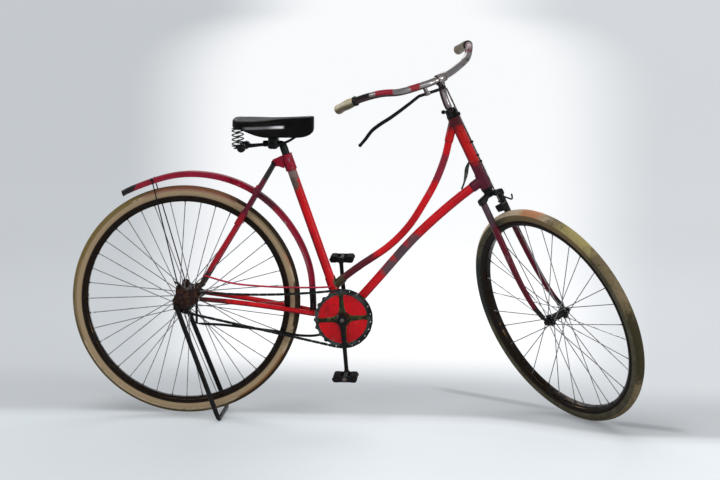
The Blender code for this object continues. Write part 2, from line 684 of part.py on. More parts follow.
for k in range(RIB_COUNT):
    a = -math.pi / 2 + CRANK_TILT + 2 * math.pi * k / RIB_COUNT
    out = Vector((math.cos(a), 0, math.sin(a)))
    across = Vector((-math.sin(a), 0, math.cos(a)))
    rib_out = WEB_R - RIB_END
    rib_mid = BB + out * (BOSS_R + rib_out) / 2 + Vector((0, CHAIN_Y - CHAIN_IN, 0))
    rib_axes = (out, Vector((0, 1, 0)), across)
    union(ring, box("ring_rib", rib_mid, (rib_out - BOSS_R, 0.0044, 0.0100), rib_axes))
CRANK_AXLE_R = 0.0080
cut(ring, cylinder("ring_bore", BB - Vector((0, 0.1, 0)), BB, CRANK_AXLE_R + GAP, 12))
finish_object(ring, "red")

# chain: one closed loop, a block at each pitch point and a pair of side plates between them;
# where the teeth pass, a block keeps only its outer part
points = [polar(BB, RING_PR, -RING_END + k * 2 * math.pi / RING_TEETH, CHAIN_Y) for k in range(RING_WRAP + 1)]
ring_last, cog_first = points[-1], polar(REAR, COG_PR, math.pi / 2 + (math.pi / 2 - COG_END), CHAIN_Y)
for k in range(1, RUN_LINKS):
    t = k / RUN_LINKS
    points.append(ring_last.lerp(cog_first, t) - Vector((0, 0, 4 * SAG * t * (1 - t))))
cog_angles = [math.pi - COG_END + k * 2 * math.pi / COG_TEETH for k in range(COG_WRAP + 1)]
points += [polar(REAR, COG_PR, a, CHAIN_Y) for a in cog_angles]
cog_last, ring_first = points[-1], points[0]
points += [cog_last.lerp(ring_first, k / RUN_LINKS) for k in range(1, RUN_LINKS)]
NOTCH = TOOTH_TOP + RUN
bm = bmesh.new()
stations = []
count = len(points)
for k, p in enumerate(points):
    tangent = (points[(k + 1) % count] - points[k - 1]).normalized()
    from_ring, from_cog = Vector((p.x, 0, p.z)) - BB, Vector((p.x, 0, p.z)) - REAR
    off_ring, off_cog = from_ring.length - RING_PR, from_cog.length - COG_PR
    if min(off_ring, off_cog) < GAP:
        tangent = (from_ring if off_ring < GAP else from_cog).cross(Vector((0, 1, 0))).normalized()
    outward = Vector((0, 1, 0)).cross(tangent)
    heights = (-CHAIN_H, CHAIN_H) if min(off_ring, off_cog) > 2 * CHAIN_H else (-CHAIN_H, NOTCH, CHAIN_H)
    for end in (-BLOCK, BLOCK):
        row = {}
        for name, y in (("near", -CHAIN_OUT), ("near_in", -CHAIN_IN), ("far_in", CHAIN_IN), ("far", CHAIN_OUT)):
            wanted = heights if name.endswith("in") else (heights[0], heights[-1])
            row[name] = [bm.verts.new(p + tangent * end + outward * h + Vector((0, y, 0))) for h in wanted]
        stations.append(row)


def span(*lines):
    """Face between two lines of corners, the second read backwards."""
    first, second = lines
    bm.faces.new(list(first) + list(second)[::-1])


for k, row in enumerate(stations):
    nxt = stations[(k + 1) % len(stations)]
    block, notched = k % 2 == 0, len(row["near_in"]) == 3
    for outer, inner in (("near", "near_in"), ("far", "far_in")):
        span(row[outer], nxt[outer])
        for level in (0, -1):
            span((row[outer][level], row[inner][level]), (nxt[outer][level], nxt[inner][level]))
        if not block:
            span(row[inner], nxt[inner])
        elif notched:
            span(row[inner][:2], nxt[inner][:2])
    if block:
        for level in (-2, -1):
            span((row["near_in"][level], row["far_in"][level]), (nxt["near_in"][level], nxt["far_in"][level]))
    span(row["near_in"][-2:], row["far_in"][-2:])
finish_object(mesh_object("chain", bm), "steel")

# crank axle with its bearing collars
COLLAR = SHELL_BORE - RUN
collar_spans = [(-CRANK_Y - CRANK_HALF, CRANK_AXLE_R), (-0.0325, CRANK_AXLE_R), (-0.0325, COLLAR),
                (-0.0245, COLLAR), (-0.0245, CRANK_AXLE_R), (0.0245, CRANK_AXLE_R), (0.0245, COLLAR),
                (0.0325, COLLAR), (0.0325, CRANK_AXLE_R), (CRANK_Y + CRANK_HALF, CRANK_AXLE_R)]
finish_object(bake(solid_turn("crank_axle", BB, (0, 1, 0), collar_spans, 12)), "steel")

PEDAL_IN = 0.0800
PEDAL_OUT = 0.1680
SPINDLE_R = 0.0050
BARREL_R = 0.0090
for name, sign in (("right", -1), ("left", 1)):
    a = -math.pi / 2 + CRANK_TILT + (math.pi if sign > 0 else 0)
    out = Vector((math.cos(a), 0, math.sin(a)))
    across = Vector((-math.sin(a), 0, math.cos(a)))
    eye = BB + out * CRANK
    outline = []
    for centre, radius, turn in ((BB, 0.0155, math.pi / 2), (eye, 0.0105, -math.pi / 2)):
        for k in range(7):
            t = turn + math.pi * k / 6
            outline.append(centre + radius * (math.cos(t) * out + math.sin(t) * across))
    arm = plate("crank_" + name, [(p.x, p.z) for p in outline], sign * crank_in, sign * (CRANK_Y + CRANK_HALF))
    y = Vector((0, sign, 0))
    union(arm, cylinder("spindle", eye + y * CRANK_Y, eye + y * (PEDAL_OUT + 0.0045), SPINDLE_R, 8),
          cylinder("spindle_nut", eye + y * (PEDAL_OUT + RUN), eye + y * (PEDAL_OUT + 0.0045), BARREL_R, 8))
    cut(arm, cylinder("crank_bore", BB + y * 0.05, BB + y * 0.09, CRANK_AXLE_R + GAP, 12))
    finish_object(arm, "black")
    # pedal: barrel, end plates and two rubber blocks, level
    length, thick, wide = 0.0760, 0.0220, 0.0220
    mid_y = (PEDAL_IN + PEDAL_OUT) / 2
    pedal = cylinder("pedal_" + name, eye + y * PEDAL_IN, eye + y * PEDAL_OUT, BARREL_R, 10)
    for y_at in (PEDAL_IN + 0.0050, PEDAL_OUT - 0.0050):
        outline = [(-length / 2 + 0.004, -thick / 2 + 0.003), (length / 2 - 0.004, -thick / 2 + 0.003),
                   (length / 2, 0.0), (length / 2 - 0.004, thick / 2 - 0.003),
                   (-length / 2 + 0.004, thick / 2 - 0.003), (-length / 2, 0.0)]
        union(pedal, plate("pedal_plate", [(eye.x + px, eye.z + pz) for px, pz in outline],
                           sign * (y_at - 0.0015), sign * (y_at + 0.0015)))
    for end in (-1, 1):
        union(pedal, box("pedal_block", eye + y * mid_y + Vector((end * (length / 2 - wide / 2 - 0.002), 0, 0)),
                         (wide, PEDAL_OUT - PEDAL_IN - 0.0115, thick)))
    cut(pedal, cylinder("pedal_bore", eye + y * (PEDAL_IN - 0.01), eye + y * (PEDAL_OUT + 0.01),
                        clear(SPINDLE_R, 8) + RUN, 8))
    finish_object(pedal, "rubber")

# Steered pieces

BLADE_Y = 0.0345
BLADE_R = 0.0105
BLADE_END_R = 0.0072
TIP_IN = 0.0392                 # inner face of a fork end
TIP_T = 0.0040
TIP_R = 0.0115
FRONT_AXLE_R = 0.0043
ROD_N = 0.0335                  # the brake rod's place in front of the axis
ROD_R = 0.0026

crown_axes = (FWD, RIGHT, UP)
crown_mid = steer(0, (CROWN_LOW + CROWN_TOP) / 2)
crown = box("fork_crown", crown_mid, (0.0280, BLADE_Y * 2 + 0.0270, CROWN_TOP - CROWN_LOW), crown_axes)
bevel = crown.modifiers.new("edges", "BEVEL")
bevel.width = 0.0055
bevel.segments = 1
bevel.limit_method = "ANGLE"
crown = bake(crown)
RACE_R = 0.0175
spans = [(CROWN_TOP - 0.005, RACE_R - 0.0025), (CROWN_TOP + 0.006, RACE_R - 0.0025), (CROWN_TOP + 0.008, RACE_R),
         (HEAD_LOW - GAP, RACE_R), (HEAD_LOW - GAP, STEERER_R), (HEAD_TOP + 0.0300, STEERER_R)]
union(crown, bake(solid_turn("steerer", FOOT, UP, spans, 12)),
      box("rod_guide", steer(0.0240, CROWN_TOP - 0.0075), (0.0300, 0.0120, 0.0120), crown_axes))
for sign in (-1, 1):
    cut(crown, cylinder("blade_bore", steer(0, CROWN_LOW - 0.01, sign * BLADE_Y),
                        steer(0, CROWN_TOP - 0.006, sign * BLADE_Y), clear(BLADE_R), 10))
cut(crown, cylinder("rod_bore", steer(ROD_N, CROWN_LOW), steer(ROD_N, HEAD_LOW), ROD_R + RUN, 8))
finish_object(crown, "black")

# fork blade: forward of the axis, up the axis, out from the middle, radius
BLADE = [(0.0000, CROWN_TOP - 0.0065, BLADE_Y, BLADE_R), (0.0000, 0.3400, BLADE_Y, BLADE_R),
         (0.0000, 0.2500, 0.0360, 0.0102), (0.0010, 0.1700, 0.0382, 0.0095), (0.0070, 0.1050, 0.0400, 0.0086),
         (0.0200, 0.0520, 0.0412, 0.0078), (0.0400, 0.0130, 0.0412, BLADE_END_R)]
for name, sign in (("right", 1), ("left", -1)):
    pts = thin(smooth(BLADE, 2))
    blade = rod("fork_blade_" + name, [steer(p.x, p.y, sign * p.z) for p in pts], BLADE_R, 8, [p.w for p in pts])
    tab_low, tab_high = steer(RAKE, 0), steer(0.0370, 0.0180)
    tab_dir = (tab_high - tab_low).normalized()
    tab_mid = (tab_low + tab_high) / 2 + RIGHT * sign * (TIP_IN + TIP_T / 2)
    union(blade, cylinder("tip", steer(RAKE, 0, sign * TIP_IN), steer(RAKE, 0, sign * (TIP_IN + TIP_T)), TIP_R, 10),
          box("tip_tab", tab_mid, ((tab_high - tab_low).length, 0.0130, TIP_T - 0.0002),
              (tab_dir, tab_dir.cross(RIGHT), RIGHT)))
    cut(blade, cylinder("tip_bore", steer(RAKE, 0, sign * 0.030), steer(RAKE, 0, sign * 0.055),
                        FRONT_AXLE_R + GAP, 10))
    finish_object(blade, "red")

# front axle, hub, rim and tyre
HUB = steer(RAKE, 0)
FRONT_HUB_END = 0.0340
tip_out = TIP_IN + TIP_T + GAP
half = [(-0.0520, FRONT_AXLE_R), (-tip_out - 0.0065, FRONT_AXLE_R), (-tip_out - 0.0065, 0.0085), (-tip_out, 0.0085),
        (-tip_out, FRONT_AXLE_R), (-TIP_IN + GAP, FRONT_AXLE_R), (-TIP_IN + GAP, 0.0072),
        (-FRONT_HUB_END - 0.0010, 0.0072), (-FRONT_HUB_END - 0.0010, FRONT_AXLE_R)]
spans = half + [(-y, r) for y, r in half[::-1]]
finish_object(bake(solid_turn("front_axle", HUB, RIGHT, spans, 6)), "black")
FRONT_FLANGE = 0.0270
FRONT_SPOKE_R = 0.0155
front_flange_r = FRONT_SPOKE_R + FLANGE_RIM - RUN
flange_in, flange_out = FRONT_FLANGE - FLANGE_HALF, FRONT_FLANGE + FLANGE_HALF
half = [(flange_in - FLANGE_SLOPE, 0.0125), (flange_in, front_flange_r), (flange_out, front_flange_r),
        (flange_out + 0.0010, 0.0130), (FRONT_HUB_END, 0.0120)]
FRONT_HUB = [(-y, r) for y, r in half[::-1]] + half
rim("front_rim", HUB, RIGHT)
tyre("front_tyre", HUB, RIGHT)
spoked_hub("front_hub", HUB, RIGHT, FRONT_HUB, FRONT_AXLE_R + RUN, FRONT_FLANGE, FRONT_SPOKE_R, FRONT_SPOKES)

# upper race with the clip that carries the knob and the rod's guide
STEERER_TOP = HEAD_TOP + 0.0300
CLIP_H = 0.0290
clip_low = HEAD_TOP + GAP
clip = solid_turn("headset_clip", FOOT, UP, [(clip_low, 0.0185), (clip_low + 0.0100, 0.0185),
                                             (clip_low + 0.0120, 0.0165), (clip_low + CLIP_H, 0.0165)], 12)
clip = bake(clip)
knob_low = HEAD_TOP + 0.0220
union(clip, cylinder("knob_stem", steer(-0.0100, knob_low), steer(-0.0340, knob_low + 0.0040), 0.0032, 8),
      cylinder("knob", steer(-0.0320, knob_low + 0.0037), steer(-0.0440, knob_low + 0.0057), 0.0062, 10),
      box("clip_guide", steer(0.0245, HEAD_TOP + 0.0060), (0.0270, 0.0110, 0.0110), crown_axes))
cut(clip, cylinder("clip_bore", on_axis(HEAD_TOP - 0.01), on_axis(STEERER_TOP + 0.02), STEERER_R + GAP, 12),
    cylinder("rod_bore", steer(ROD_N, HEAD_TOP - 0.01), steer(ROD_N, HEAD_TOP + 0.02), ROD_R + RUN, 8))
finish_object(clip, "black")

# stem and handlebar: forward, up, right
STEM_R = 0.0110
BAR_R = 0.0112
CLAMP_N = 0.0300                # the bar's clamp forward of the steering axis
STEM_RISE = 0.0960              # and above the steerer
CLAMP_U = STEERER_TOP + STEM_RISE
STEM_BEND = [(0.00, 0.21), (0.20, 0.50), (0.60, 0.78), (1.00, 1.00)]    # shares of both
stem_bend = [(CLAMP_N * n, STEERER_TOP + STEM_RISE * u, 0) for n, u in STEM_BEND]
stem_pts = [(0.0000, STEERER_TOP + GAP, 0)] + smooth(stem_bend, 2)
stem = rod("stem", [steer(*p) for p in stem_pts], STEM_R, 10)
CLAMP_HALF = 0.0160
clamp_mid, clamp_side = steer(CLAMP_N, CLAMP_U), CLAMP_HALF * RIGHT
union(stem, cylinder("clamp", clamp_mid - clamp_side, clamp_mid + clamp_side, BAR_R + 0.0035, 12))
cut(stem, cylinder("bar_bore", clamp_mid - 2 * clamp_side, clamp_mid + 2 * clamp_side, clear(BAR_R), 10))
finish_object(stem, "nickel")

# forward and up from the clamp, to the right
BAR = [(-0.0060, 0.0040, 0.0630), (-0.0280, 0.0160, 0.1330), (-0.0590, 0.0360, 0.1780), (-0.1000, 0.0460, 0.2130),
       (-0.1520, 0.0486, 0.2400), (-0.2160, 0.0452, 0.2460)]
GRIP_R = 0.0155
GRIP_POINTS = 4                 # points of the bar's curve that the grip covers
half_bar = smooth([(CLAMP_N, CLAMP_U, 0.0180)] + [(CLAMP_N + n, CLAMP_U + u, r) for n, u, r in BAR], 2)
bar_end = half_bar[:-1]
bar_pts = [steer(p.x, p.y, -p.z) for p in bar_end[::-1]] + [steer(*p) for p in bar_end]
bar = rod("handlebar", bar_pts, BAR_R, 8)

# brake lever: its shaft below the bar, then the lever out to its tip
# forward of the axis, below the clamp, to the right
LEVER_DROP = [(ROD_N, 0.0300, 0.0000), (0.0310, 0.0282, 0.0300), (0.0163, 0.0198, 0.0900),
              (-0.0291, 0.0319, 0.1200), (-0.0808, 0.0432, 0.1500), (-0.1116, 0.0484, 0.1750),
              (-0.1414, 0.0561, 0.1950), (-0.1735, 0.0720, 0.2100), (-0.2000, 0.0841, 0.2250)]
LEVER = [(n, CLAMP_U - drop, r) for n, drop, r in LEVER_DROP]
LEVER_R = 0.0036
post_low, post_high = steer(0.0228, CLAMP_U - 0.0280, 0.0640), steer(0.0240, CLAMP_U + 0.0040, 0.0640)
union(bar, cylinder("lever_post", post_low, post_high, 0.0065, 10))
lever_a, lever_b = Vector(LEVER[1]), Vector(LEVER[2])
cut(bar, cylinder("lever_bore", steer(*(lever_a.lerp(lever_b, 0.25))), steer(*(lever_a.lerp(lever_b, 0.85))),
                  clear(LEVER_R, 8), 8))
finish_object(bar, "nickel")
lever_pts = [steer(*p) for p in LEVER[:3] + smooth(LEVER[2:], 2)[1:]]
finish_object(rod("brake_lever", lever_pts, LEVER_R, 8), "black")

for name, sign in (("right", 1), ("left", -1)):
    covered = [steer(p.x, p.y, sign * p.z) for p in half_bar[-GRIP_POINTS:]]
    grip = rod("grip_" + name, covered, GRIP_R, 8)
    inner = [steer(p.x, p.y, sign * p.z) for p in half_bar[-GRIP_POINTS - 2:-1]]
    inner[-1] = inner[-1] + (inner[-1] - inner[-2]).normalized() * GAP
    cut(grip, rod("grip_bore", inner, clear(BAR_R, 8), 8))
    finish_object(grip, "cream")

# brake rod with its collars, and the shoe over the tyre
SHOE_ROOM = 0.0065              # from the tyre to the shoe
SHOE_H = 0.0220
SHOE_LOW = TYRE_R + SHOE_ROOM
SHOE_TOP = SHOE_LOW + SHOE_H
COLLARS = [(0.0790, 0.0050), (0.1000, 0.0045), (0.1440, 0.0060)]       # up from the head tube's foot, radius
rod_top = LEVER[0][1] - LEVER_R - GAP
rod_spans = [(SHOE_TOP + GAP, ROD_R)]
for rise, wide in COLLARS:
    at = HEAD_LOW + rise
    rod_spans += [(at - 0.003, ROD_R), (at - 0.003, wide), (at + 0.003, wide), (at + 0.003, ROD_R)]
rod_spans.append((rod_top, ROD_R))
finish_object(bake(solid_turn("brake_rod", FOOT + ROD_N * FWD, UP, rod_spans, 8)), "steel")
shoe_mid = steer(ROD_N, SHOE_LOW + SHOE_H / 2)
finish_object(box("brake_shoe", shoe_mid, (0.0360, 0.0240, SHOE_H), crown_axes), "rubber")

# curved brace behind the lower head lug, x and z
BRACE = [(0.8705, 0.7990), (0.8640, 0.7800), (0.8615, 0.7600), (0.8560, 0.7350), (0.8470, 0.7120)]
brace = rod("head_brace", smooth(drawn(side(BRACE), HEAD_SHIFT, HEAD_SHIFT), 2), 0.0028, 6)
cut(brace, cylinder("brace_mitre", on_axis(HEAD_LOW - 0.05), on_axis(HEAD_TOP), HEAD_R + GAP, 14),
    rod("brace_foot", down_pts, DOWN_R + GAP, 8))
finish_object(brace, "steel")


# Seat

# all drawn over SEAT_DRAWN, and moved onto the seat tube at the end
arm_z = 0.8490
post_pts = [SEAT_DRAWN - SEAT_DIR * POST_DEEP, SEAT_DRAWN + SEAT_DIR * 0.0100,
            SEAT_DRAWN + SEAT_DIR * 0.0230, Vector((0.3010, 0, 0.8445)),
            Vector((0.2950, 0, arm_z - 0.0006)), Vector((0.2860, 0, arm_z)), Vector((0.2400, 0, arm_z))]
ARM_R = 0.0095
post_radii = [POST_R, POST_R, POST_R, 0.0115, 0.0105, ARM_R, ARM_R]
finish_object(rod("seat_post", post_pts, POST_R, 10, post_radii), "steel")

# leather: x, half width, height of the middle, fall to the edge, bottom of the skirt
LEATHER = [(0.1530, 0.0420, 0.9215, 0.0050, 0.9060), (0.1580, 0.0760, 0.9240, 0.0070, 0.9035),
           (0.1750, 0.0960, 0.9255, 0.0090, 0.9020), (0.2000, 0.1000, 0.9250, 0.0100, 0.9030),
           (0.2300, 0.0900, 0.9225, 0.0100, 0.9020), (0.2600, 0.0680, 0.9215, 0.0100, 0.8990),
           (0.2900, 0.0450, 0.9235, 0.0100, 0.8880), (0.3200, 0.0320, 0.9275, 0.0090, 0.8700),
           (0.3500, 0.0265, 0.9315, 0.0080, 0.8690), (0.3750, 0.0240, 0.9340, 0.0070, 0.8780),
           (0.3900, 0.0180, 0.9345, 0.0060, 0.8980), (0.3965, 0.0090, 0.9320, 0.0040, 0.9120)]
LEATHER_T = 0.0040
# across: share of the half width, share of the fall, share of the skirt
ACROSS = [(0.0, 0.0, 0.0), (0.45, 0.15, 0.0), (0.80, 0.50, 0.0), (0.97, 1.0, 0.05), (1.0, 1.0, 0.5), (1.0, 1.0, 1.0)]


def under_leather(x, y):
    """Height at which a piece of the saddle's frame meets the leather from below."""
    x, half_width, middle, fall, skirt = between(LEATHER, x)
    share, fallen, hung = between(ACROSS[:4], abs(y) / half_width)
    return middle - fall * fallen - LEATHER_T - 2 * GAP


RAIL_R = 0.0034
RAIL = [(0.1630, 0.0580, 0.8430), (0.2000, 0.0400, 0.8420), (0.2430, 0.0235, 0.8460), (0.3000, 0.0215, 0.8500),
        (0.3450, 0.0170, 0.8740), (0.3720, 0.0110, 0.9080), (0.3840, 0.0000, under_leather(0.3840, 0) - RAIL_R)]
right_rail = both_sides(RAIL, -1)
rail_pts = right_rail + [Vector((p.x, -p.y, p.z)) for p in right_rail[-2::-1]]
rails = rod("saddle_rails", rail_pts, RAIL_R, 6)
SPRING_R = 0.0102
SPRING_WIRE = 0.0020
CUP_R = SPRING_R + SPRING_WIRE          # round seats of a spring, on the rail's end and under the cantle
CUP_T = 0.0020
SPRING_AT = RAIL[0][:2]
SPRING_TOP = 0.8975                     # underside of the cantle's spring seats, below the leather's skirt
cup_top = RAIL[0][2] + RAIL_R
for sign in (-1, 1):
    union(rails, cylinder("spring_cup", (SPRING_AT[0], sign * SPRING_AT[1], cup_top - CUP_T),
                          (SPRING_AT[0], sign * SPRING_AT[1], cup_top), CUP_R, 12))
finish_object(rails, "black")
clamp = box("saddle_clamp", (0.2690, 0, 0.8480), (0.0220, 0.0620, 0.0270))
cut(clamp, cylinder("arm_bore", (0.2300, 0, arm_z), (0.3000, 0, arm_z), clear(ARM_R), 10))
for sign in (-1, 1):
    cut(clamp, rod("rail_bore", [Vector((p.x, -sign * p.y, p.z)) for p in right_rail[:-2]], clear(RAIL_R, 8), 8))
finish_object(clamp, "black")

TURNS = 4
TURN_POINTS = 6
spring_low = cup_top + GAP + SPRING_WIRE
spring_high = SPRING_TOP - GAP - SPRING_WIRE
for name, sign in (("right", -1), ("left", 1)):
    pts = []
    for k in range(TURNS * TURN_POINTS + 1):
        a = 2 * math.pi * k / TURN_POINTS
        t = k / (TURNS * TURN_POINTS)
        pts.append(Vector((SPRING_AT[0] + SPRING_R * math.cos(a), sign * (SPRING_AT[1] + SPRING_R * math.sin(a)),
                           spring_low + (spring_high - spring_low) * t)))
    finish_object(rod("saddle_spring_" + name, pts, SPRING_WIRE, 4), "steel")
CANTLE_X = 0.1650
CANTLE = [(CANTLE_X, SPRING_AT[1], SPRING_TOP + RAIL_R), (CANTLE_X, 0.0420, 0.9080),
          (CANTLE_X, 0.0260, under_leather(CANTLE_X, 0.0260) - RAIL_R),
          (CANTLE_X, 0.0000, under_leather(CANTLE_X, 0.0000) - RAIL_R)]
half_cantle = smooth(CANTLE, 2)
cantle_pts = half_cantle + [Vector((p.x, -p.y, p.z)) for p in half_cantle[-2::-1]]
cantle = rod("saddle_cantle", cantle_pts, RAIL_R, 6)
for sign in (-1, 1):
    union(cantle, cylinder("spring_cup", (SPRING_AT[0], sign * SPRING_AT[1], SPRING_TOP),
                           (SPRING_AT[0], sign * SPRING_AT[1], SPRING_TOP + CUP_T), CUP_R, 12))
finish_object(cantle, "black")

bm = bmesh.new()
rows = []
for x, w, zc, fall, zb in LEATHER:
    row = []
    for sign, line in ((-1, ACROSS[::-1]), (1, ACROSS[1:])):
        for fw, ff, fs in line:
            ze = zc - fall * ff
            row.append(bm.verts.new((x, sign * w * fw, ze - (ze - zb) * fs)))
    rows.append(row)
for a, b in zip(rows, rows[1:]):
    for k in range(len(a) - 1):
        bm.faces.new((a[k], b[k], b[k + 1], a[k + 1]))
bm.faces.new(rows[0])
bm.faces.new(rows[-1][::-1])
leather = mesh_object("saddle_leather", bm)
wall = leather.modifiers.new("wall", "SOLIDIFY")
wall.thickness = LEATHER_T
wall.offset = -1
finish_object(bake(leather), "leather")
for name in ("seat_post", "saddle_rails", "saddle_clamp", "saddle_spring_right", "saddle_spring_left",
             "saddle_cantle", "saddle_leather"):
    bpy.data.objects[name].location = SEAT_SHIFT


# Mudguard

GUARD_HALF = 0.0255
GUARD_T = 0.0012
GUARD_CROWN = 0.0085
BRIDGE_R = 0.0060
SEAT_BRIDGE = 57.5                      # degrees from straight ahead about the rear axle
GUARD_ROOM = 0.0550                     # from the tyre to the crown at the seat stays
BRIDGE_ROOM = 0.0485                    # from the tyre to the chain stays' bridge
BRIDGE_RISE = 0.0025                    # of that bridge above the stays
bridge_x = TYRE_R + BRIDGE_ROOM
CHAIN_BRIDGE = (bridge_x, between(CHAIN_STAY, bridge_x)[2] + BRIDGE_RISE)       # x, z
GUARD_LOW = math.degrees(math.asin((CHAIN_BRIDGE[1] + BRIDGE_R + 2 * GAP - REAR_Z) / CHAIN_BRIDGE[0]))
# degrees from straight ahead about the rear axle, room from the tyre to the crown
GUARD = [(120.5, 0.0345), (107.0, 0.0340), (87.0, 0.0455), (59.0, GUARD_ROOM), (32.0, 0.0540), (15.0, 0.0525),
         (5.0, 0.0485), (GUARD_LOW, 0.0495)]
guard_line = smooth([(a, TYRE_R + room, 0) for a, room in GUARD], 2)
bm = bmesh.new()
rows = []
SECTION = 4
for p in guard_line:
    a, r = math.radians(p.x), p.y
    row = []
    for k in range(SECTION + 1):
        t = 2 * k / SECTION - 1
        rr = r - GUARD_CROWN * t * t
        row.append(bm.verts.new((rr * math.cos(a), GUARD_HALF * t, REAR_Z + rr * math.sin(a))))
    rows.append(row)
for a, b in zip(rows, rows[1:]):
    for k in range(SECTION):
        bm.faces.new((a[k], b[k], b[k + 1], a[k + 1]))
guard = mesh_object("rear_mudguard", bm)
wall = guard.modifiers.new("wall", "SOLIDIFY")
wall.thickness = GUARD_T
wall.offset = 0
finish_object(bake(guard), "red")

# bridges that carry the mudguard
bridge_a = math.radians(SEAT_BRIDGE)
bridge_r = TYRE_R + GUARD_ROOM + GUARD_T / 2 + GAP + BRIDGE_R
seat_bridge_at = Vector((bridge_r * math.cos(bridge_a), 0, REAR_Z + bridge_r * math.sin(bridge_a)))
chain_bridge_at = Vector((CHAIN_BRIDGE[0], 0, CHAIN_BRIDGE[1]))
# name, middle, half length, the stays that it joins and their radius
for name, at, reach, line, stay_r in (("chain_bridge", chain_bridge_at, 0.030, CHAIN_STAY, CHAIN_STAY_R),
                                      ("seat_bridge", seat_bridge_at, 0.036, SEAT_STAY, SEAT_STAY_R)):
    bridge = cylinder(name, at - Vector((0, reach, 0)), at + Vector((0, reach, 0)), BRIDGE_R, 10)
    for sign in (-1, 1):
        cut(bridge, rod("bridge_mitre", both_sides(line, sign), stay_r + GAP, 8))
    finish_object(bridge, "red")

WIRE_R = 0.0019
STAY_TURN = math.radians(105.0)         # where the mudguard's stays end, about the rear axle
STAY_TOP = 0.0312                       # from the tyre to their upper ends
top_r = TYRE_R + STAY_TOP
stay_top = (top_r * math.cos(STAY_TURN), REAR_Z + top_r * math.sin(STAY_TURN))
stay_y = END_IN + END_T + GAP + WIRE_R
for name, sign in (("right", -1), ("left", 1)):
    top_y = sign * (GUARD_HALF + GAP + WIRE_R)
    pts = [(stay_top[0], top_y, stay_top[1]), (stay_top[0] + 0.0045, top_y, stay_top[1] - 0.0160),
           (-0.0160, sign * stay_y, 0.4200), (-0.0140, sign * stay_y, 0.4080)]
    finish_object(rod("mudguard_stay_" + name, pts, WIRE_R, 6), "black")

# guard wires beside the chain: x, y, z
WIRE_UP = [(0.0640, -0.0720, 0.4500), (0.1383, -0.0640, 0.4281), (0.2030, -0.0520, 0.4176), (0.3105, -0.0380, 0.4105),
           (0.4050, -0.0290, 0.4100), (0.4508, -0.0170, 0.4109)]
GUARD_WIRE_R = 0.0024
upper_wire = drawn(WIRE_UP, NOT_MOVED, BB_SHIFT)
finish_object(rod("guard_wire_upper", thin(smooth(upper_wire, 2)), GUARD_WIRE_R, 6), "red")
WIRE_LOW = [(0.0420, -0.0667, 0.3720), (0.0420, -0.0667, 0.3000), (0.0600, -0.0600, 0.2970), (0.1200, -0.0450, 0.2920),
            (0.2222, -0.0320, 0.2790), (0.2900, -0.0300, 0.2710), (0.3600, -0.0300, 0.2600), (0.4200, -0.0300, 0.2640),
            (0.4700, -0.0300, 0.2920)]
lower_wire = drawn(WIRE_LOW, NOT_MOVED, BB_SHIFT)
wire_pts = lower_wire[:2] + thin(smooth(lower_wire[2:], 2))
finish_object(rod("guard_wire_lower", wire_pts, GUARD_WIRE_R, 6), "black")


# Joint axes: an empty on each, its Z along the axis, carries the pieces of one body

Y_AXIS = Vector((0, 1, 0))
EYES = {name: BB + sign * CRANK * Vector((math.sin(CRANK_TILT), 0, -math.cos(CRANK_TILT)))
        for name, sign in (("right", 1), ("left", -1))}
# axis, its place and direction, the axis that carries it, the pieces
MOVING = [
    ("rear_wheel_axis", REAR, Y_AXIS, "bicycle_root", ("rear_rim", "rear_tyre", "rear_hub", "sprocket")),
    ("crank_axis", BB, Y_AXIS, "bicycle_root", ("crank_axle", "chainring", "crank_right", "crank_left")),
    ("pedal_right_axis", EYES["right"], Y_AXIS, "crank_axis", ("pedal_right",)),
    ("pedal_left_axis", EYES["left"], Y_AXIS, "crank_axis", ("pedal_left",)),
    ("stand_axis", Vector((STAND_PIN[0], 0, STAND_PIN[1])), Y_AXIS, "bicycle_root", ("stand",)),
    ("steering_axis", FOOT, UP, "bicycle_root",
     ("fork_crown", "fork_blade_right", "fork_blade_left", "front_axle", "headset_clip", "stem", "handlebar",
      "grip_right", "grip_left", "brake_lever", "brake_rod", "brake_shoe")),
    ("front_wheel_axis", HUB, RIGHT, "steering_axis", ("front_rim", "front_tyre", "front_hub")),
]


def attach(obj, carrier, place):
    """Parent that leaves the object where it is; place is the carrier's matrix."""
    obj.parent = carrier
    obj.matrix_parent_inverse = place.inverted()


def assembly():
    """Root and joint axes, and each piece on the one that carries it."""
    root = bpy.data.objects.new("bicycle_root", None)
    carriers = {"bicycle_root": (root, Matrix.Identity(4))}
    PARTS.objects.link(root)
    for name, point, direction, carrier, pieces in MOVING:
        place = frame_matrix(point, direction)
        axis = bpy.data.objects.new(name, None)
        axis.empty_display_size = TYRE_HALF
        axis.matrix_basis = place
        attach(axis, *carriers[carrier])
        PARTS.objects.link(axis)
        carriers[name] = (axis, place)
        for piece in pieces:
            attach(bpy.data.objects[piece], axis, place)
    for obj in PARTS.objects:
        if obj.type == "MESH" and obj.parent is None:
            obj.parent = root
    return root


def stand_on_origin(root):
    """Move the root so that the bottom centre of the bicycle's box is the origin."""
    bpy.context.view_layer.update()
    depsgraph = bpy.context.evaluated_depsgraph_get()
    corners = []
    for obj in PARTS.objects:
        if obj.type == "MESH":
            seen = obj.evaluated_get(depsgraph)
            corners += [seen.matrix_world @ Vector(c) for c in seen.bound_box]
    low = Vector([min(c[k] for c in corners) for k in range(3)])
    high = Vector([max(c[k] for c in corners) for k in range(3)])
    root.location = (-(low.x + high.x) / 2, -(low.y + high.y) / 2, -low.z)
    bpy.context.view_layer.update()


stand_on_origin(assembly())
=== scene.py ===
import json
from math import copysign, cos, pi, radians, sin, sqrt

import bmesh
import bpy
from mathutils import Matrix, Vector


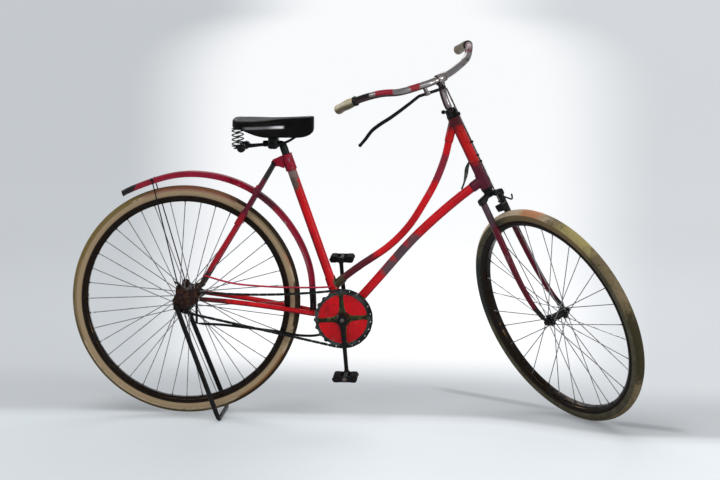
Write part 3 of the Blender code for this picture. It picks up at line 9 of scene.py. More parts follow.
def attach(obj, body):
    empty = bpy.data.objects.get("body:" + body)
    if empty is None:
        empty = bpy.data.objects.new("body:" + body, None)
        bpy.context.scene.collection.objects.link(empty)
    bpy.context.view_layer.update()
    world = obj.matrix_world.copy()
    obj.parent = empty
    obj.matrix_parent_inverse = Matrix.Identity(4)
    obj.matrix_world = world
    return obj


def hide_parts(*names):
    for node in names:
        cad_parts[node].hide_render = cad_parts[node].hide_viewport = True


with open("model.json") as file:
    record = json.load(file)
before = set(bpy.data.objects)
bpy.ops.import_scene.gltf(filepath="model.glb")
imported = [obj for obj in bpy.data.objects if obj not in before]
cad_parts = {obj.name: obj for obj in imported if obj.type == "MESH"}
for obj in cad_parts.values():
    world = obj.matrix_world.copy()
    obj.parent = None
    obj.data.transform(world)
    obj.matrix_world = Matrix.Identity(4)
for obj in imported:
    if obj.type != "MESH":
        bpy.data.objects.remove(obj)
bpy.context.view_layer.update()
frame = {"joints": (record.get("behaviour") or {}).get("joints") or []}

# Places taken from the frame: joint axes, and the bicycle's own measuring point below its rear axle
JOINTS = {j["name"]: (Vector(j["pos_m"]), Vector(j["axis"]).normalized()) for j in frame["joints"]}
REAR = JOINTS["rear_wheel_spin"][0]
BB = JOINTS["crank_spin"][0]
FOOT, UP = JOINTS["steering"]
HUB, RIGHT = JOINTS["front_wheel_spin"]
FWD = UP.cross(RIGHT)
X, Y, Z = Vector((1, 0, 0)), Vector((0, 1, 0)), Vector((0, 0, 1))
TAU = 2 * pi
GAP = 0.0003                    # between pieces that don't touch
AXLE_UP = 0.3625                # rear axle over the measuring point
ORIGIN = REAR - AXLE_UP * Z


def at(x, y, z):
    """Point of the part: along it, to its left, up from the floor."""
    return ORIGIN + Vector((x, y, z))


def steer(n, u, r=0.0):
    """Point of the steered assembly: forward, up the axis, to the right."""
    return FOOT + n * FWD + u * UP + r * RIGHT


def ats(points):
    """at() of every point."""
    return [at(*p) for p in points]


def steers(points):
    """steer() of every point."""
    return [steer(*p) for p in points]


def through(centre, axis, reach):
    """Both ends of a bar that reaches equally far to both sides of a centre."""
    return [centre - axis * reach, centre + axis * reach]


# Camera, at the photo's place and angle
CAMERA_AT = at(0.9096, -5.8768, 1.3476)
LENS = 96.76
PITCH, ROLL, YAW = -0.1338, 0.0045, 0.063


def add_camera():
    data = bpy.data.cameras.new("camera")
    data.lens = LENS
    data.clip_end = 400
    camera = bpy.data.objects.new("camera", data)
    right = Vector((cos(YAW), sin(YAW), 0))
    ahead = cos(PITCH) * Vector((-sin(YAW), cos(YAW), 0)) + sin(PITCH) * Z
    above = right.cross(ahead)
    across = cos(ROLL) * right + sin(ROLL) * above
    upward = cos(ROLL) * above - sin(ROLL) * right
    camera.matrix_world = Matrix((across, upward, -ahead)).transposed().to_4x4()
    camera.location = CAMERA_AT
    bpy.context.scene.collection.objects.link(camera)
    bpy.context.scene.camera = camera


add_camera()


# Materials

class Look:
    """Node material built in small steps round one Principled shader."""

    def __init__(self, name, roughness=0.4, metallic=0.0, **sockets):
        self.mat = bpy.data.materials.new(name)
        self.mat.use_nodes = True
        self.tree = self.mat.node_tree
        self.shader = self.tree.nodes["Principled BSDF"]
        self.place = self.tree.nodes.new("ShaderNodeTexCoord").outputs["Object"]
        self.set("Roughness", roughness)
        self.set("Metallic", metallic)
        for key, value in sockets.items():
            self.set(key.replace("_", " ").title().replace("Ior", "IOR"), value)

    def set(self, socket, value):
        if isinstance(value, bpy.types.NodeSocket):
            self.tree.links.new(value, self.shader.inputs[socket])
        else:
            self.shader.inputs[socket].default_value = (*value, 1.0) if isinstance(value, tuple) else value

    def node(self, kind, settings=(), **inputs):
        node = self.tree.nodes.new("ShaderNode" + kind)
        for key, value in settings:
            setattr(node, key, value)
        for key, value in inputs.items():
            socket = node.inputs[int(key[1:]) if key[0] == "i" and key[1:].isdigit() else key]
            if isinstance(value, bpy.types.NodeSocket):
                self.tree.links.new(value, socket)
            else:
                socket.default_value = value
        return node

    def range(self, value, low, high, out_low=0.0, out_high=1.0):
        """Smooth step of a value from low to high."""
        node = self.node("MapRange", [("interpolation_type", "SMOOTHSTEP")], i0=value, i1=low, i2=high,
            i3=out_low, i4=out_high)
        return node.outputs[0]

    def noise(self, scale, low=0.0, high=1.0, detail=5.0, stretch=None, warp=0.0):
        place = self.place
        if stretch:
            place = self.node("Mapping", i0=place, i3=stretch).outputs[0]
        node = self.node("TexNoise", Vector=place, Scale=scale, Detail=detail, Roughness=0.6,
            Distortion=warp)
        return self.range(node.outputs["Fac"], low, high)

    def mix(self, fac, a, b):
        node = self.node("Mix", [("data_type", "RGBA")], i0=fac)
        for socket, value in ((node.inputs[6], a), (node.inputs[7], b)):
            if isinstance(value, bpy.types.NodeSocket):
                self.tree.links.new(value, socket)
            else:
                socket.default_value = (*value, 1.0)
        return node.outputs[2]

    def math(self, operation, a, b=0.0):
        return self.node("Math", [("operation", operation)], i0=a, i1=b).outputs[0]

    def plus(self, a, b):
        return self.math("ADD", a, b)

    def minus(self, a, b):
        return self.math("SUBTRACT", a, b)

    def times(self, a, *factors):
        for b in factors:
            a = self.math("MULTIPLY", a, b)
        return a

    def near(self, point, inner, outer):
        """1 within the inner distance of a point of the object, 0 past the outer one."""
        gap = self.node("VectorMath", [("operation", "DISTANCE")], i0=self.place, i1=tuple(point))
        return self.range(gap.outputs["Value"], inner, outer, 1.0, 0.0)

    def facing(self, direction, low, high):
        """0 where the surface, at rest, faces away from a direction, 1 where it faces along it."""
        normal = self.tree.nodes.new("ShaderNodeTexCoord").outputs["Normal"]
        along = self.node("VectorMath", [("operation", "DOT_PRODUCT")], i0=normal, i1=tuple(direction))
        return self.range(along.outputs["Value"], low, high)

    def masks(self, spots, scale, ragged):
        """Mask and tint of each spot; a spot is a point, its inner and outer radius and its tint."""
        edge = self.range(self.noise(scale), 0.0, 1.0, -ragged, ragged)
        for point, inner, outer, tint in spots:
            yield self.range(self.plus(self.near(point, inner, outer), edge), 0.15, 0.85), tint

    def spots(self, colour, spots):
        """Ragged spots over a colour: stains, and in some lists painted shade, highlights and reflections.
        """
        for mask, tint in self.masks(spots, 60.0, 0.3):
            colour = self.mix(mask, colour, tint)
        return colour

    def edges(self, low=0.52, high=0.6):
        """1 along outer edges."""
        node = self.tree.nodes.new("ShaderNodeNewGeometry")
        return self.range(node.outputs["Pointiness"], low, high)

    def bump(self, *heights):
        """Bump from pairs of a height and its depth in metres."""
        normal = None
        for height, depth in heights:
            below = {} if normal is None else {"Normal": normal}
            normal = self.node("Bump", Height=height, Distance=depth, Strength=1.0,
                **below).outputs["Normal"]
        self.set("Normal", normal)

    def made(self, colour, rough, *heights):
        """The material with its colour, roughness and bump; rough is a noise's scale and two ends."""
        self.set("Base Color", colour)
        scale, low, high = rough
        self.set("Roughness", self.range(self.noise(scale), 0.0, 1.0, low, high))
        self.bump(*heights)
        return self.mat


RED = (0.66, 0.002, 0.008)
DEEP = 0.62                     # how dark a red's grimed places are against it
MAROON = (0.11, 0.003, 0.012)
RUST = (0.05, 0.02, 0.011)
BARE = (0.2, 0.175, 0.16)
# soot-black; also the colour of painted shade in some spot lists
SOOT_AND_SHADE = (0.006, 0.005, 0.005)
BLACK = (0.0045, 0.0045, 0.005)


def paint(name, base=RED, spots=(), wear=0.62, under=0.85):
    """Old red enamel: faded and grimed, chipped to dark primer, with worn or dark places and painted shade
    below.
    """
    look = Look(name, specular_ior_level=0.18, coat_weight=0.05, coat_roughness=0.15)
    deep = tuple(c * DEEP for c in base)
    colour = look.mix(look.noise(9.0, 0.35, 0.72, warp=0.4), base, deep)
    colour = look.mix(look.noise(38.0, 0.55, 0.8, stretch=(1, 1, 0.35)), colour, MAROON)
    # painted shade: faces turned down darken towards maroon, as strongly as under asks
    underside_shade = look.facing((-0.35, 0.0, -1.0), 0.05, 0.85)
    colour = look.mix(look.times(underside_shade, under), colour, MAROON)
    colour = look.spots(colour, spots)
    chips = look.noise(150.0, wear, wear + 0.05, detail=7.0)
    colour = look.mix(chips, colour, SOOT_AND_SHADE)
    rubbed = look.times(look.noise(70.0, 0.56, 0.66, stretch=(1, 1, 0.3)), look.noise(12.0, 0.5, 0.7))
    colour = look.mix(rubbed, colour, BARE)
    return look.made(colour, (24.0, 0.26, 0.48), (look.noise(300.0), 0.00008), (chips, -0.00006),
        (look.noise(26.0), 0.0004))


def enamel(name, base=BLACK, rust=0.6):
    """Black stove enamel, dulled and rusting through."""
    look = Look(name, specular_ior_level=0.12)
    colour = look.mix(look.noise(30.0, 0.4, 0.8), base, tuple(c * 1.8 for c in base))
    through = look.noise(95.0, rust, rust + 0.1, detail=8.0)
    colour = look.mix(through, colour, RUST)
    return look.made(colour, (40.0, 0.24, 0.5), (look.noise(260.0), 0.0001), (through, -0.0001))


def plated(name, base=(0.42, 0.4, 0.37), worn=(0.1, 0.075, 0.06), low=0.5, spots=(),
        shade_side=(-0.5, 0.0, -0.85), start=0.25):
    """Nickel plate gone cloudy, with brown tarnish, painted shade on the side turned from the light, and
    spots of other colours where it shines less.
    """
    look = Look(name, metallic=1.0, specular_ior_level=0.2)
    # the tarnish mask also takes in the faces turned towards the given direction: painted shade there, in
    # the worn colour, darker and less metallic
    tarnish_and_shade = look.noise(45.0, low, low + 0.22, detail=7.0, warp=0.5)
    tarnish_and_shade = look.math("MAXIMUM", tarnish_and_shade, look.facing(shade_side, start, start + 0.7))
    colour = look.mix(tarnish_and_shade, base, worn)
    shine = look.range(tarnish_and_shade, 0.0, 1.0, 1.0, 0.35)
    for mask, tint in look.masks(spots, 55.0, 0.25):
        colour = look.mix(mask, colour, tint)
        shine = look.times(shine, look.range(mask, 0.0, 1.0, 1.0, 0.0))
    if spots:
        # painted shade: with spots, the side turned from the light is darkened once more
        colour = look.mix(look.facing(shade_side, -0.05, 0.6), colour, worn)
    look.set("Base Color", colour)
    look.set("Metallic", shine)
    look.set("Roughness", look.range(tarnish_and_shade, 0.0, 1.0, 0.2, 0.6))
    look.bump((look.noise(240.0), 0.00008), (tarnish_and_shade, -0.00008))
    return look.mat


def rubber(name, base, worn, dark, scale=26.0, centre=None, zones=(), spots=()):
    """Perished rubber: blotched, cracked across, dusty.

    A zone is a distance from the wheel's centre, up to which another colour holds.
    """
    look = Look(name, specular_ior_level=0.12)
    colour = look.mix(look.noise(scale, 0.35, 0.68, warp=0.6), base, worn)
    colour = look.mix(look.noise(scale * 3.3, 0.52, 0.78, detail=8.0), colour, dark)
    colour = look.spots(colour, spots)
    for radius, tint in zones:
        colour = look.mix(look.near(centre, radius - 0.0015, radius + 0.0015), colour, tint)
    cracks = look.node("TexVoronoi", [("feature", "DISTANCE_TO_EDGE")], Vector=look.place,
        Scale=scale * 14).outputs[0]
    crack = look.range(cracks, 0.0, 0.06, 1.0, 0.0)
    colour = look.mix(look.times(crack, 0.55), colour, dark)
    return look.made(colour, (scale * 2, 0.62, 0.9), (look.noise(420.0), 0.00025), (crack, -0.0003),
        (look.noise(scale), 0.0009))


# ends and height of the saddle's side streak: rub wear and a painted highlight
RUB_AND_HIGHLIGHT_X = [ORIGIN.x + v for v in (0.185, 0.205, 0.3, 0.312)]
RUB_AND_HIGHLIGHT_Z = ORIGIN.z + 0.902


def leather(name):
    """Black saddle leather: fine grain, long creases, polished where it is sat on, and a painted highlight
    on each side.
    """
    look = Look(name, specular_ior_level=0.05)
    colour = look.mix(look.noise(18.0, 0.35, 0.75), (0.003, 0.0028, 0.003), (0.0065, 0.0056, 0.0052))
    scuffs = look.noise(80.0, 0.62, 0.74, detail=8.0)
    colour = look.mix(look.times(scuffs, look.edges(0.5, 0.56)), colour, (0.06, 0.042, 0.03))
    xyz = look.node("SeparateXYZ", i0=look.place).outputs
    # rubbed pale and painted with a highlight in a long streak on each side, brightest at its front end
    rise = look.math("ABSOLUTE", look.minus(xyz[2], RUB_AND_HIGHLIGHT_Z))
    rub_and_highlight = look.times(look.range(rise, 0.0015, 0.006, 1.0, 0.0), look.range(xyz[0], RUB_AND_HIGHLIGHT_X[0], RUB_AND_HIGHLIGHT_X[1]),
        look.range(xyz[0], RUB_AND_HIGHLIGHT_X[2], RUB_AND_HIGHLIGHT_X[3], 1.0, 0.0), look.facing((0, 0, 1), 0.85, 0.55),
        look.noise(90.0, 0.15, 0.45))
    pale = look.mix(look.range(xyz[0], RUB_AND_HIGHLIGHT_X[1] + 0.05, RUB_AND_HIGHLIGHT_X[2]), (0.16, 0.16, 0.17), (0.8, 0.8, 0.82))
    colour = look.mix(rub_and_highlight, colour, pale)
    grain = look.node("TexVoronoi", Vector=look.place, Scale=900.0).outputs["Distance"]
    creases = look.noise(42.0, 0.42, 0.5, stretch=(0.25, 1.0, 1.0), warp=1.2)
    return look.made(colour, (30.0, 0.3, 0.46), (grain, 0.00012), (creases, 0.00045),
        (look.noise(16.0), 0.0012))


def celluloid(name):
    """Yellowed celluloid of the grips, with brown streaks and painted shade on their lower side."""
    look = Look(name, coat_weight=0.1, coat_roughness=0.2)
    colour = look.mix(look.noise(30.0, 0.35, 0.7, stretch=(0.4, 1, 1)), (0.66, 0.6, 0.42),
        (0.46, 0.37, 0.2))
    colour = look.mix(look.noise(120.0, 0.6, 0.72, detail=8.0), colour, (0.1, 0.075, 0.045))
    # painted shade: the lower side of the grip darkened to olive
    colour = look.mix(look.facing((0.2, 0.0, -1.0), -0.4, 0.45), colour, (0.085, 0.065, 0.022))
    colour = look.spots(colour, [(steer(-0.01, 0.852, -0.235), 0.16, 0.2, (0.15, 0.115, 0.07))])
    return look.made(colour, (60.0, 0.35, 0.62), (look.noise(200.0), 0.00015))


RAKE = 0.0503
BLADE_TIP_DARK = [(steer(0.045, 0.01, s * 0.0415), 0.026, 0.058, SOOT_AND_SHADE) for s in (-1, 1)]
# painted shade at the far blade's top, under the crown
FAR_TOP_SHADE = [(steer(0.0, 0.385, -0.038), 0.03, 0.055, SOOT_AND_SHADE)]
BLADE_TOP_PALE = [(steer(0.0, 0.4, 0.04), 0.03, 0.11, (0.075, 0.04, 0.05))]
BAR_SPOTS = [(steer(-0.024, 0.84, 0.171), 0.022, 0.036, (0.3, 0.008, 0.024)),
    (steer(-0.076, 0.853, 0.217), 0.024, 0.036, (0.008, 0.005, 0.005)),
    (steer(0.014, 0.816, 0.092), 0.012, 0.03, (0.28, 0.02, 0.03)),
    (steer(-0.06, 0.85, -0.206), 0.06, 0.1, (0.095, 0.004, 0.01))]
HEAD_SPOTS = [(steer(0.0, 0.46), 0.045, 0.095, (0.09, 0.006, 0.02)),
    (steer(0.0, 0.68), 0.015, 0.06, (0.07, 0.004, 0.008))]
SEAT_SPOTS = [(at(0.323, -0.014, 0.75), 0.022, 0.03, (0.18, 0.12, 0.11)),
    (at(0.33, -0.014, 0.725), 0.01, 0.034, (0.09, 0.06, 0.05)),
    (at(0.48, 0, 0.427), 0.018, 0.034, (0.045, 0.035, 0.012))]
STAY_SPOTS = [(at(0.23, 0, 0.71), 0.07, 0.13, (0.105, 0.003, 0.018)),
    (at(0.268, 0, 0.785), 0.04, 0.075, (0.011, 0.01, 0.008)),
    (at(0.2, 0, 0.67), 0.01, 0.04, (0.22, 0.02, 0.045)),
    (at(0.02, 0, 0.39), 0.095, 0.13, (0.022, 0.012, 0.008))]
# the last spot, olive-grey at the tube's foot, is a painted highlight
LOOP_SPOTS = [(at(0.815, 0, 0.895), 0.02, 0.04, (0.05, 0.004, 0.007)),
    (at(0.785, 0, 0.78), 0.03, 0.06, (0.26, 0.012, 0.03)),
    (at(0.53, 0, 0.465), 0.035, 0.11, (0.09, 0.003, 0.01)),
    (at(0.476, 0, 0.425), 0.012, 0.022, (0.15, 0.13, 0.04))]
DOWN_SPOTS = [(at(0.635, -0.01, 0.47), 0.008, 0.05, (0.11, 0.055, 0.065)),
    (at(0.675, -0.01, 0.515), 0.014, 0.05, (0.085, 0.05, 0.06)),
    (at(0.71, -0.01, 0.55), 0.008, 0.045, (0.12, 0.05, 0.06))]
# the last two spots, black below the stay, are painted shade on its underside
CHAIN_STAY_SPOTS = [(at(0.02, -0.055, 0.3745), 0.04, 0.1, (0.03, 0.006, 0.005)),
    (at(0.1, -0.055, 0.355), 0.01, 0.06, (0.09, 0.004, 0.006)),
    (at(0.09, -0.055, 0.335), 0.016, 0.04, SOOT_AND_SHADE), (at(0.15, -0.05, 0.325), 0.016, 0.04, SOOT_AND_SHADE)]
GUARD_SPOTS = [(at(-0.2, 0, 0.7), 0.03, 0.075, SOOT_AND_SHADE), (at(0.404, 0, 0.31), 0.085, 0.125, SOOT_AND_SHADE),
    (at(0.235, 0, 0.66), 0.02, 0.08, (0.06, 0.003, 0.01))]
# the first spot is painted shade on the tread's right side, the last a painted reflection of the red
# mudguard on its top
TREAD_SPOTS = [(at(0.3, 0, 0.4), 0.3, 0.5, (0.03, 0.018, 0.01)),
    (at(-0.28, 0, 0.58), 0.14, 0.22, (0.19, 0.135, 0.045)),
    (at(-0.2, 0, 0.14), 0.16, 0.26, (0.12, 0.085, 0.035)),
    (at(0.02, 0, 0.71), 0.06, 0.2, (0.24, 0.1, 0.055))]
# the first spot is a painted reflection of the red mudguard on the wall's top, the fourth painted shade on
# its right side
WALL_SPOTS = [(at(0.02, -0.02, 0.7), 0.1, 0.22, (0.33, 0.175, 0.12)),
    (at(-0.26, -0.02, 0.58), 0.1, 0.17, (0.2, 0.145, 0.05)),
    (at(0.3, -0.02, 0.5), 0.02, 0.05, (0.42, 0.2, 0.11)),
    (at(0.34, -0.02, 0.35), 0.04, 0.1, (0.026, 0.016, 0.008)),
    (at(0.24, -0.02, 0.13), 0.07, 0.13, (0.24, 0.11, 0.035)),
    (at(0.28, -0.02, 0.6), 0.06, 0.12, (0.21, 0.155, 0.085)),
    (at(-0.34, -0.02, 0.36), 0.1, 0.16, (0.26, 0.185, 0.09))]
# the first spot is painted light on the top of the tread, the third a painted highlight, the last painted
# shade at the bottom
FRONT_TREAD_SPOTS = [(steer(RAKE, 0.3), 0.1, 0.26, (0.56, 0.44, 0.3)),
    (steer(0.16, 0.31), 0.02, 0.08, (0.56, 0.26, 0.13)), (steer(0.29, 0.2), 0.02, 0.12, (0.4, 0.33, 0.13)),
    (steer(0.36, -0.14), 0.06, 0.18, (0.042, 0.034, 0.014))]
# spots over the front wall's painted shade
FRONT_WALL_SPOTS = [(steer(0.2, 0.26), 0.12, 0.24, (0.17, 0.12, 0.06)),
    (steer(-0.28, 0.16), 0.08, 0.16, (0.035, 0.042, 0.036))]
RIM_BAND = (0.012, 0.008, 0.006)
LOOKS = {
    "paint": paint("red_enamel"),
    "loop": paint("red_enamel_loop", spots=LOOP_SPOTS),
    "down": paint("red_enamel_down_tube", spots=DOWN_SPOTS),
    "chain_stay": paint("red_enamel_chain_stays", spots=CHAIN_STAY_SPOTS, under=0.9),
    "head": paint("red_enamel_head", base=(0.58, 0.006, 0.004), spots=HEAD_SPOTS),
    "seat": paint("red_enamel_seat", spots=SEAT_SPOTS),
    "seat_lug": paint("red_enamel_seat_lug", base=(0.3, 0.002, 0.02)),
    "stay": paint("red_enamel_stays", base=(0.38, 0.003, 0.014), spots=STAY_SPOTS),
    "guard": paint("red_enamel_guard", base=(0.27, 0.002, 0.022), spots=GUARD_SPOTS),
    "fork": paint("red_enamel_fork", base=(0.12, 0.002, 0.014), spots=BLADE_TIP_DARK + BLADE_TOP_PALE),
    # the far blade: a darker copy of the fork's enamel, painted shade
    "shaded_far_fork": paint("red_enamel_far_blade_painted_shade", base=(0.085, 0.001, 0.009),
        spots=BLADE_TIP_DARK + FAR_TOP_SHADE),
    "wire_red": paint("red_enamel_wire", base=(0.56, 0.03, 0.07)),
    "black": enamel("black_enamel"),
    "cluster": enamel("brown_black_enamel", base=(0.016, 0.007, 0.006), rust=0.46),
    # on the nickel the painted shade falls on the left side, as along the stem's left edge
    "nickel": plated("nickel_plate", base=(0.3, 0.265, 0.26), worn=(0.045, 0.018, 0.02),
        shade_side=(-0.95, 0.0, -0.3), start=-0.1),
    "bar": plated("nickel_bar", base=(0.27, 0.25, 0.245), worn=(0.045, 0.026, 0.027), spots=BAR_SPOTS),
    "steel": plated("old_steel", base=(0.16, 0.15, 0.145), worn=RUST, low=0.42),
    "spoke": plated("spoke_steel", base=(0.34, 0.34, 0.34), worn=(0.11, 0.1, 0.09), low=0.45),
    "verdigris": plated("green_grey_steel", base=(0.085, 0.105, 0.08), worn=(0.016, 0.022, 0.015),
        low=0.36),
    "post": plated("green_black_steel", base=(0.02, 0.028, 0.022), worn=(0.006, 0.008, 0.006), low=0.36),
    "brass": plated("old_brass", base=(0.075, 0.07, 0.026), worn=(0.01, 0.022, 0.01), low=0.36),
    "chain": plated("oiled_chain_steel", base=(0.03, 0.032, 0.03), worn=(0.007, 0.006, 0.005), low=0.4),
    "ring": plated("grey_teal_steel", base=(0.07, 0.078, 0.072), worn=(0.012, 0.015, 0.013), low=0.4),
    "tread": rubber("tan_tread", (0.15, 0.115, 0.058), (0.24, 0.18, 0.095), (0.06, 0.042, 0.02),
        spots=TREAD_SPOTS),
    "wall": rubber("tan_wall", (0.47, 0.36, 0.22), (0.58, 0.44, 0.3), (0.17, 0.13, 0.08), centre=REAR,
        zones=[(0.3405, (0.4, 0.285, 0.17)), (0.326, RIM_BAND)], spots=WALL_SPOTS),
    "front_tread": rubber("front_tan_tread", (0.16, 0.122, 0.064), (0.23, 0.172, 0.096),
        (0.06, 0.044, 0.024), spots=FRONT_TREAD_SPOTS),
    # the front wall: a dark copy of the tan wall, painted shade on the side turned from the light
    "front_shaded_wall": rubber("front_wall_painted_shade", (0.066, 0.058, 0.034), (0.105, 0.092, 0.06),
        (0.022, 0.018, 0.011), centre=HUB, zones=[(0.326, RIM_BAND)], spots=FRONT_WALL_SPOTS),
    "rim": plated("dark_rim", base=(0.018, 0.012, 0.008), worn=(0.007, 0.004, 0.003), low=0.42),
    "rubber": rubber("black_rubber", (0.01, 0.009, 0.009), (0.02, 0.018, 0.016), (0.004, 0.004, 0.004)),
    "leather": leather("saddle_leather"),
    "grip": celluloid("grip_celluloid"),
}


# Shapes

def turns(count):
    """Angles of equal steps round a circle."""
    return [TAU * k / count for k in range(count)]


def way(angle):
    """Direction in the plane of the rear wheel."""
    return Vector((cos(angle), 0, sin(angle)))


def soft(value, power):
    """A sine or cosine raised to a power, which squares off the ring that it draws."""
    return copysign(abs(value) ** power, value)


def drum(low, high, radius, edge, drop):
    """Profile of a short cylinder with cut edges."""
    return [(low, radius - drop), (low + edge, radius), (high - edge, radius), (high, radius - drop)]


def smooth(points, count):
    """Points along a smooth curve through the given ones, with count spans between each two."""
    pts = [Vector(p) for p in points]
    pts = [2 * pts[0] - pts[1]] + pts + [2 * pts[-1] - pts[-2]]
    out = []
    for a, b, c, d in zip(pts, pts[1:], pts[2:], pts[3:]):
        for i in range(count):
            t = i / count
            bend, twist = 2 * a - 5 * b + 4 * c - d, 3 * b - a - 3 * c + d
            out.append(0.5 * (2 * b + (c - a) * t + bend * t * t + twist * t ** 3))
    out.append(pts[-2])
    return out


def square_axes(direction):
    """Three square axes whose third is the direction."""
    z = Vector(direction).normalized()
    x = z.cross(Y if abs(z.y) < 0.9 else X).normalized()
    return x, z.cross(x), z


class Shape:
    """Mesh of a piece, grown solid by solid; each solid takes one of the piece's materials."""

    def __init__(self):
        self.empty()

    def empty(self):
        self.points, self.faces, self.looks = [], [], []

    def rings(self, rings, look=0, closed=False):
        """Skin over rings of points, with flat ends unless it is closed on itself."""
        base, n = len(self.points), len(rings[0])
        for ring in rings:
            self.points += ring
        spans = len(rings) if closed else len(rings) - 1
        for k in range(spans):
            a, b = base + k * n, base + (k + 1) % len(rings) * n
            for j in range(n):
                i = (j + 1) % n
                self.faces.append((a + j, a + i, b + i, b + j))
                self.looks.append(look)
        if not closed:
            last = base + (len(rings) - 1) * n
            self.faces += [tuple(base + j for j in range(n))[::-1], tuple(last + j for j in range(n))]
            self.looks += [look, look]

    def tube(self, path, radius, look=0, sides=20, radii=None, lip=0.25):
        """Round bar along a path, its ends rounded off by a share of the radius."""
        pts = [Vector(p).to_3d() for p in path]
        sizes = list(radii) if radii else [radius] * len(pts)
        if lip:
            for end, inner in ((0, 1), (-1, -2)):
                inward = (pts[inner] - pts[end]).normalized() * sizes[end] * lip
                spot = 1 if end == 0 else len(pts) - 1
                pts.insert(spot, pts[end] + inward)
                sizes.insert(spot, sizes[end])
                sizes[end] = sizes[end] * (1 - lip)
        rings = []
        normal = None
        for k, p in enumerate(pts):
            along = (pts[min(k + 1, len(pts) - 1)] - pts[max(k - 1, 0)]).normalized()
            if normal is None:
                normal = square_axes(along)[0]
            normal = (normal - normal.dot(along) * along).normalized()
            other = along.cross(normal)
            rings.append([p + sizes[k] * (cos(a) * normal + sin(a) * other) for a in turns(sides)])
        self.rings(rings, look)

    def turn(self, origin, axis, profile, look=0, steps=48, closed=False, bore=None):
        """Turned solid from (height, radius) pairs, a ring where it is closed or has a bore.

        look may be a list with one entry for each span of the profile.
        """
        x, y, z = square_axes(axis)
        pairs = list(profile)
        if bore:
            pairs += [(pairs[-1][0], bore), (pairs[0][0], bore)]
            closed = True
        if not closed:
            pairs = [(pairs[0][0], 0.0002)] + pairs + [(pairs[-1][0], 0.0002)]
        base, n = len(self.points), len(pairs)
        for a in turns(steps):
            out = cos(a) * x + sin(a) * y
            self.points += [origin + z * h + out * r for h, r in pairs]
        spans = n if closed else n - 1
        for k in range(steps):
            a, b = base + k * n, base + (k + 1) % steps * n
            for j in range(spans):
                i = (j + 1) % n
                self.faces.append((a + j, b + j, b + i, a + i))
                self.looks.append(look[j] if isinstance(look, list) else look)
        if not closed:
            for j in (0, n - 1):
                self.faces.append(tuple(base + k * n + j for k in range(steps)))
                self.looks.append(look[0] if isinstance(look, list) else look)

    def plate(self, outline, low, high, look=0):
        """Plate between two offsets of an outline of points."""
        self.rings([[p + low for p in outline], [p + high for p in outline]], look)

    def block(self, centre, size, axes, look=0, edge=0.0008):
        """Box with its edges cut off."""
        x, y, z = axes
        hx, hy, hz = (s / 2 for s in size)
        loops = []
        for h, cut in ((-hz, edge), (-hz + edge, 0.0), (hz - edge, 0.0), (hz, edge)):
            bx, by = hx - cut, hy - cut
            corners = [(bx - edge, by), (-bx + edge, by), (-bx, by - edge), (-bx, -by + edge),
                (-bx + edge, -by), (bx - edge, -by), (bx, -by + edge), (bx, by - edge)]
            loops.append([centre + x * a + y * b + z * h for a, b in corners])
        self.rings(loops, look)

    def hexagon(self, place, axis, across, height, look=0, bolt=0.0):
        """Nut or bolt head that stands on a point, with the bolt's end through it."""
        x, y, z = square_axes(axis)
        r = across / 2 / cos(pi / 6)
        corners = [r * (cos(a) * x + sin(a) * y) for a in turns(6)]
        levels = ((0.0, 1.0), (height * 0.8, 1.0), (height, 0.86))
        self.rings([[place + z * h + corner * share for corner in corners] for h, share in levels], look)
        if bolt:
            self.tube([place + z * height * 0.5, place + z * (height + bolt)], across * 0.27, look, 12)

    def piece(self, name, looks, body="frame", crease=38.0, bevel=0.0, trim=False):
        """The object, on its body and, unless it is trim, in place of its CAD node.

        The shape is empty again after it.
        """
        mesh = bpy.data.meshes.new(name)
        mesh.from_pydata([tuple(p) for p in self.points], [], self.faces)
        for look in looks:
            mesh.materials.append(LOOKS[look])
        mesh.polygons.foreach_set("material_index", self.looks)
        bm = bmesh.new()
        bm.from_mesh(mesh)
        bmesh.ops.recalc_face_normals(bm, faces=bm.faces)
        bm.to_mesh(mesh)
        bm.free()
        mesh.shade_smooth()
        mesh.set_sharp_from_angle(angle=radians(crease))
        obj = bpy.data.objects.new(name, mesh)
        bpy.context.scene.collection.objects.link(obj)
        if bevel:
            mod = obj.modifiers.new("edges", "BEVEL")
            mod.width = bevel
            mod.segments = 2
            mod.limit_method = "ANGLE"
            mod.angle_limit = radians(crease)
        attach(obj, body)
        if not trim:
            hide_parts(name)
        self.empty()
        return obj


def sleeve(shape, end, inward, depth, radius, reach):
    """Lug's sleeve over the end of a tube, thinned to its mouth; it runs on past the end by its reach."""
    spans = [(-reach, 1.0), (depth * 0.55, 1.0), (depth - 0.002, 0.7), (depth - 0.0006, 0.45), (depth, 0.1)]
    shape.turn(end, inward, [(h, radius + LUG_WALL * share) for h, share in spans], 0, 40)


def meeting(point, direction, centre, axis, radius):
    """Distance from a point along a direction to the near side of a round tube."""
    a = direction - axis * direction.dot(axis)
    b = (point - centre) - axis * (point - centre).dot(axis)
    half = a.dot(b)
    return (-half - sqrt(max(0.0, half * half - a.dot(a) * (b.dot(b) - radius * radius)))) / a.dot(a)


def mitred_sleeve(shape, end, inward, depth, radius, centre, axis, tube_r):
    """Hollow sleeve whose foot follows the side of a tube that it grows from."""
    inward = inward.normalized()
    x, y, z = square_axes(inward)
    wide, inside = radius + LUG_WALL, radius - 0.0004
    # height, or none where the ring lies on the tube, and radius
    levels = [(None, wide), (depth * 0.55, wide), (depth - 0.002, radius + LUG_WALL * 0.7),
        (depth, radius + LUG_WALL * 0.1), (depth, inside), (None, inside)]
    loops = []
    for height, r in levels:
        loop = [end + r * (cos(t) * x + sin(t) * y) for t in turns(40)]
        loops.append([p + z * (-meeting(p, -z, centre, axis, tube_r) if height is None
            else height) for p in loop])
    shape.rings(loops, 0, closed=True)


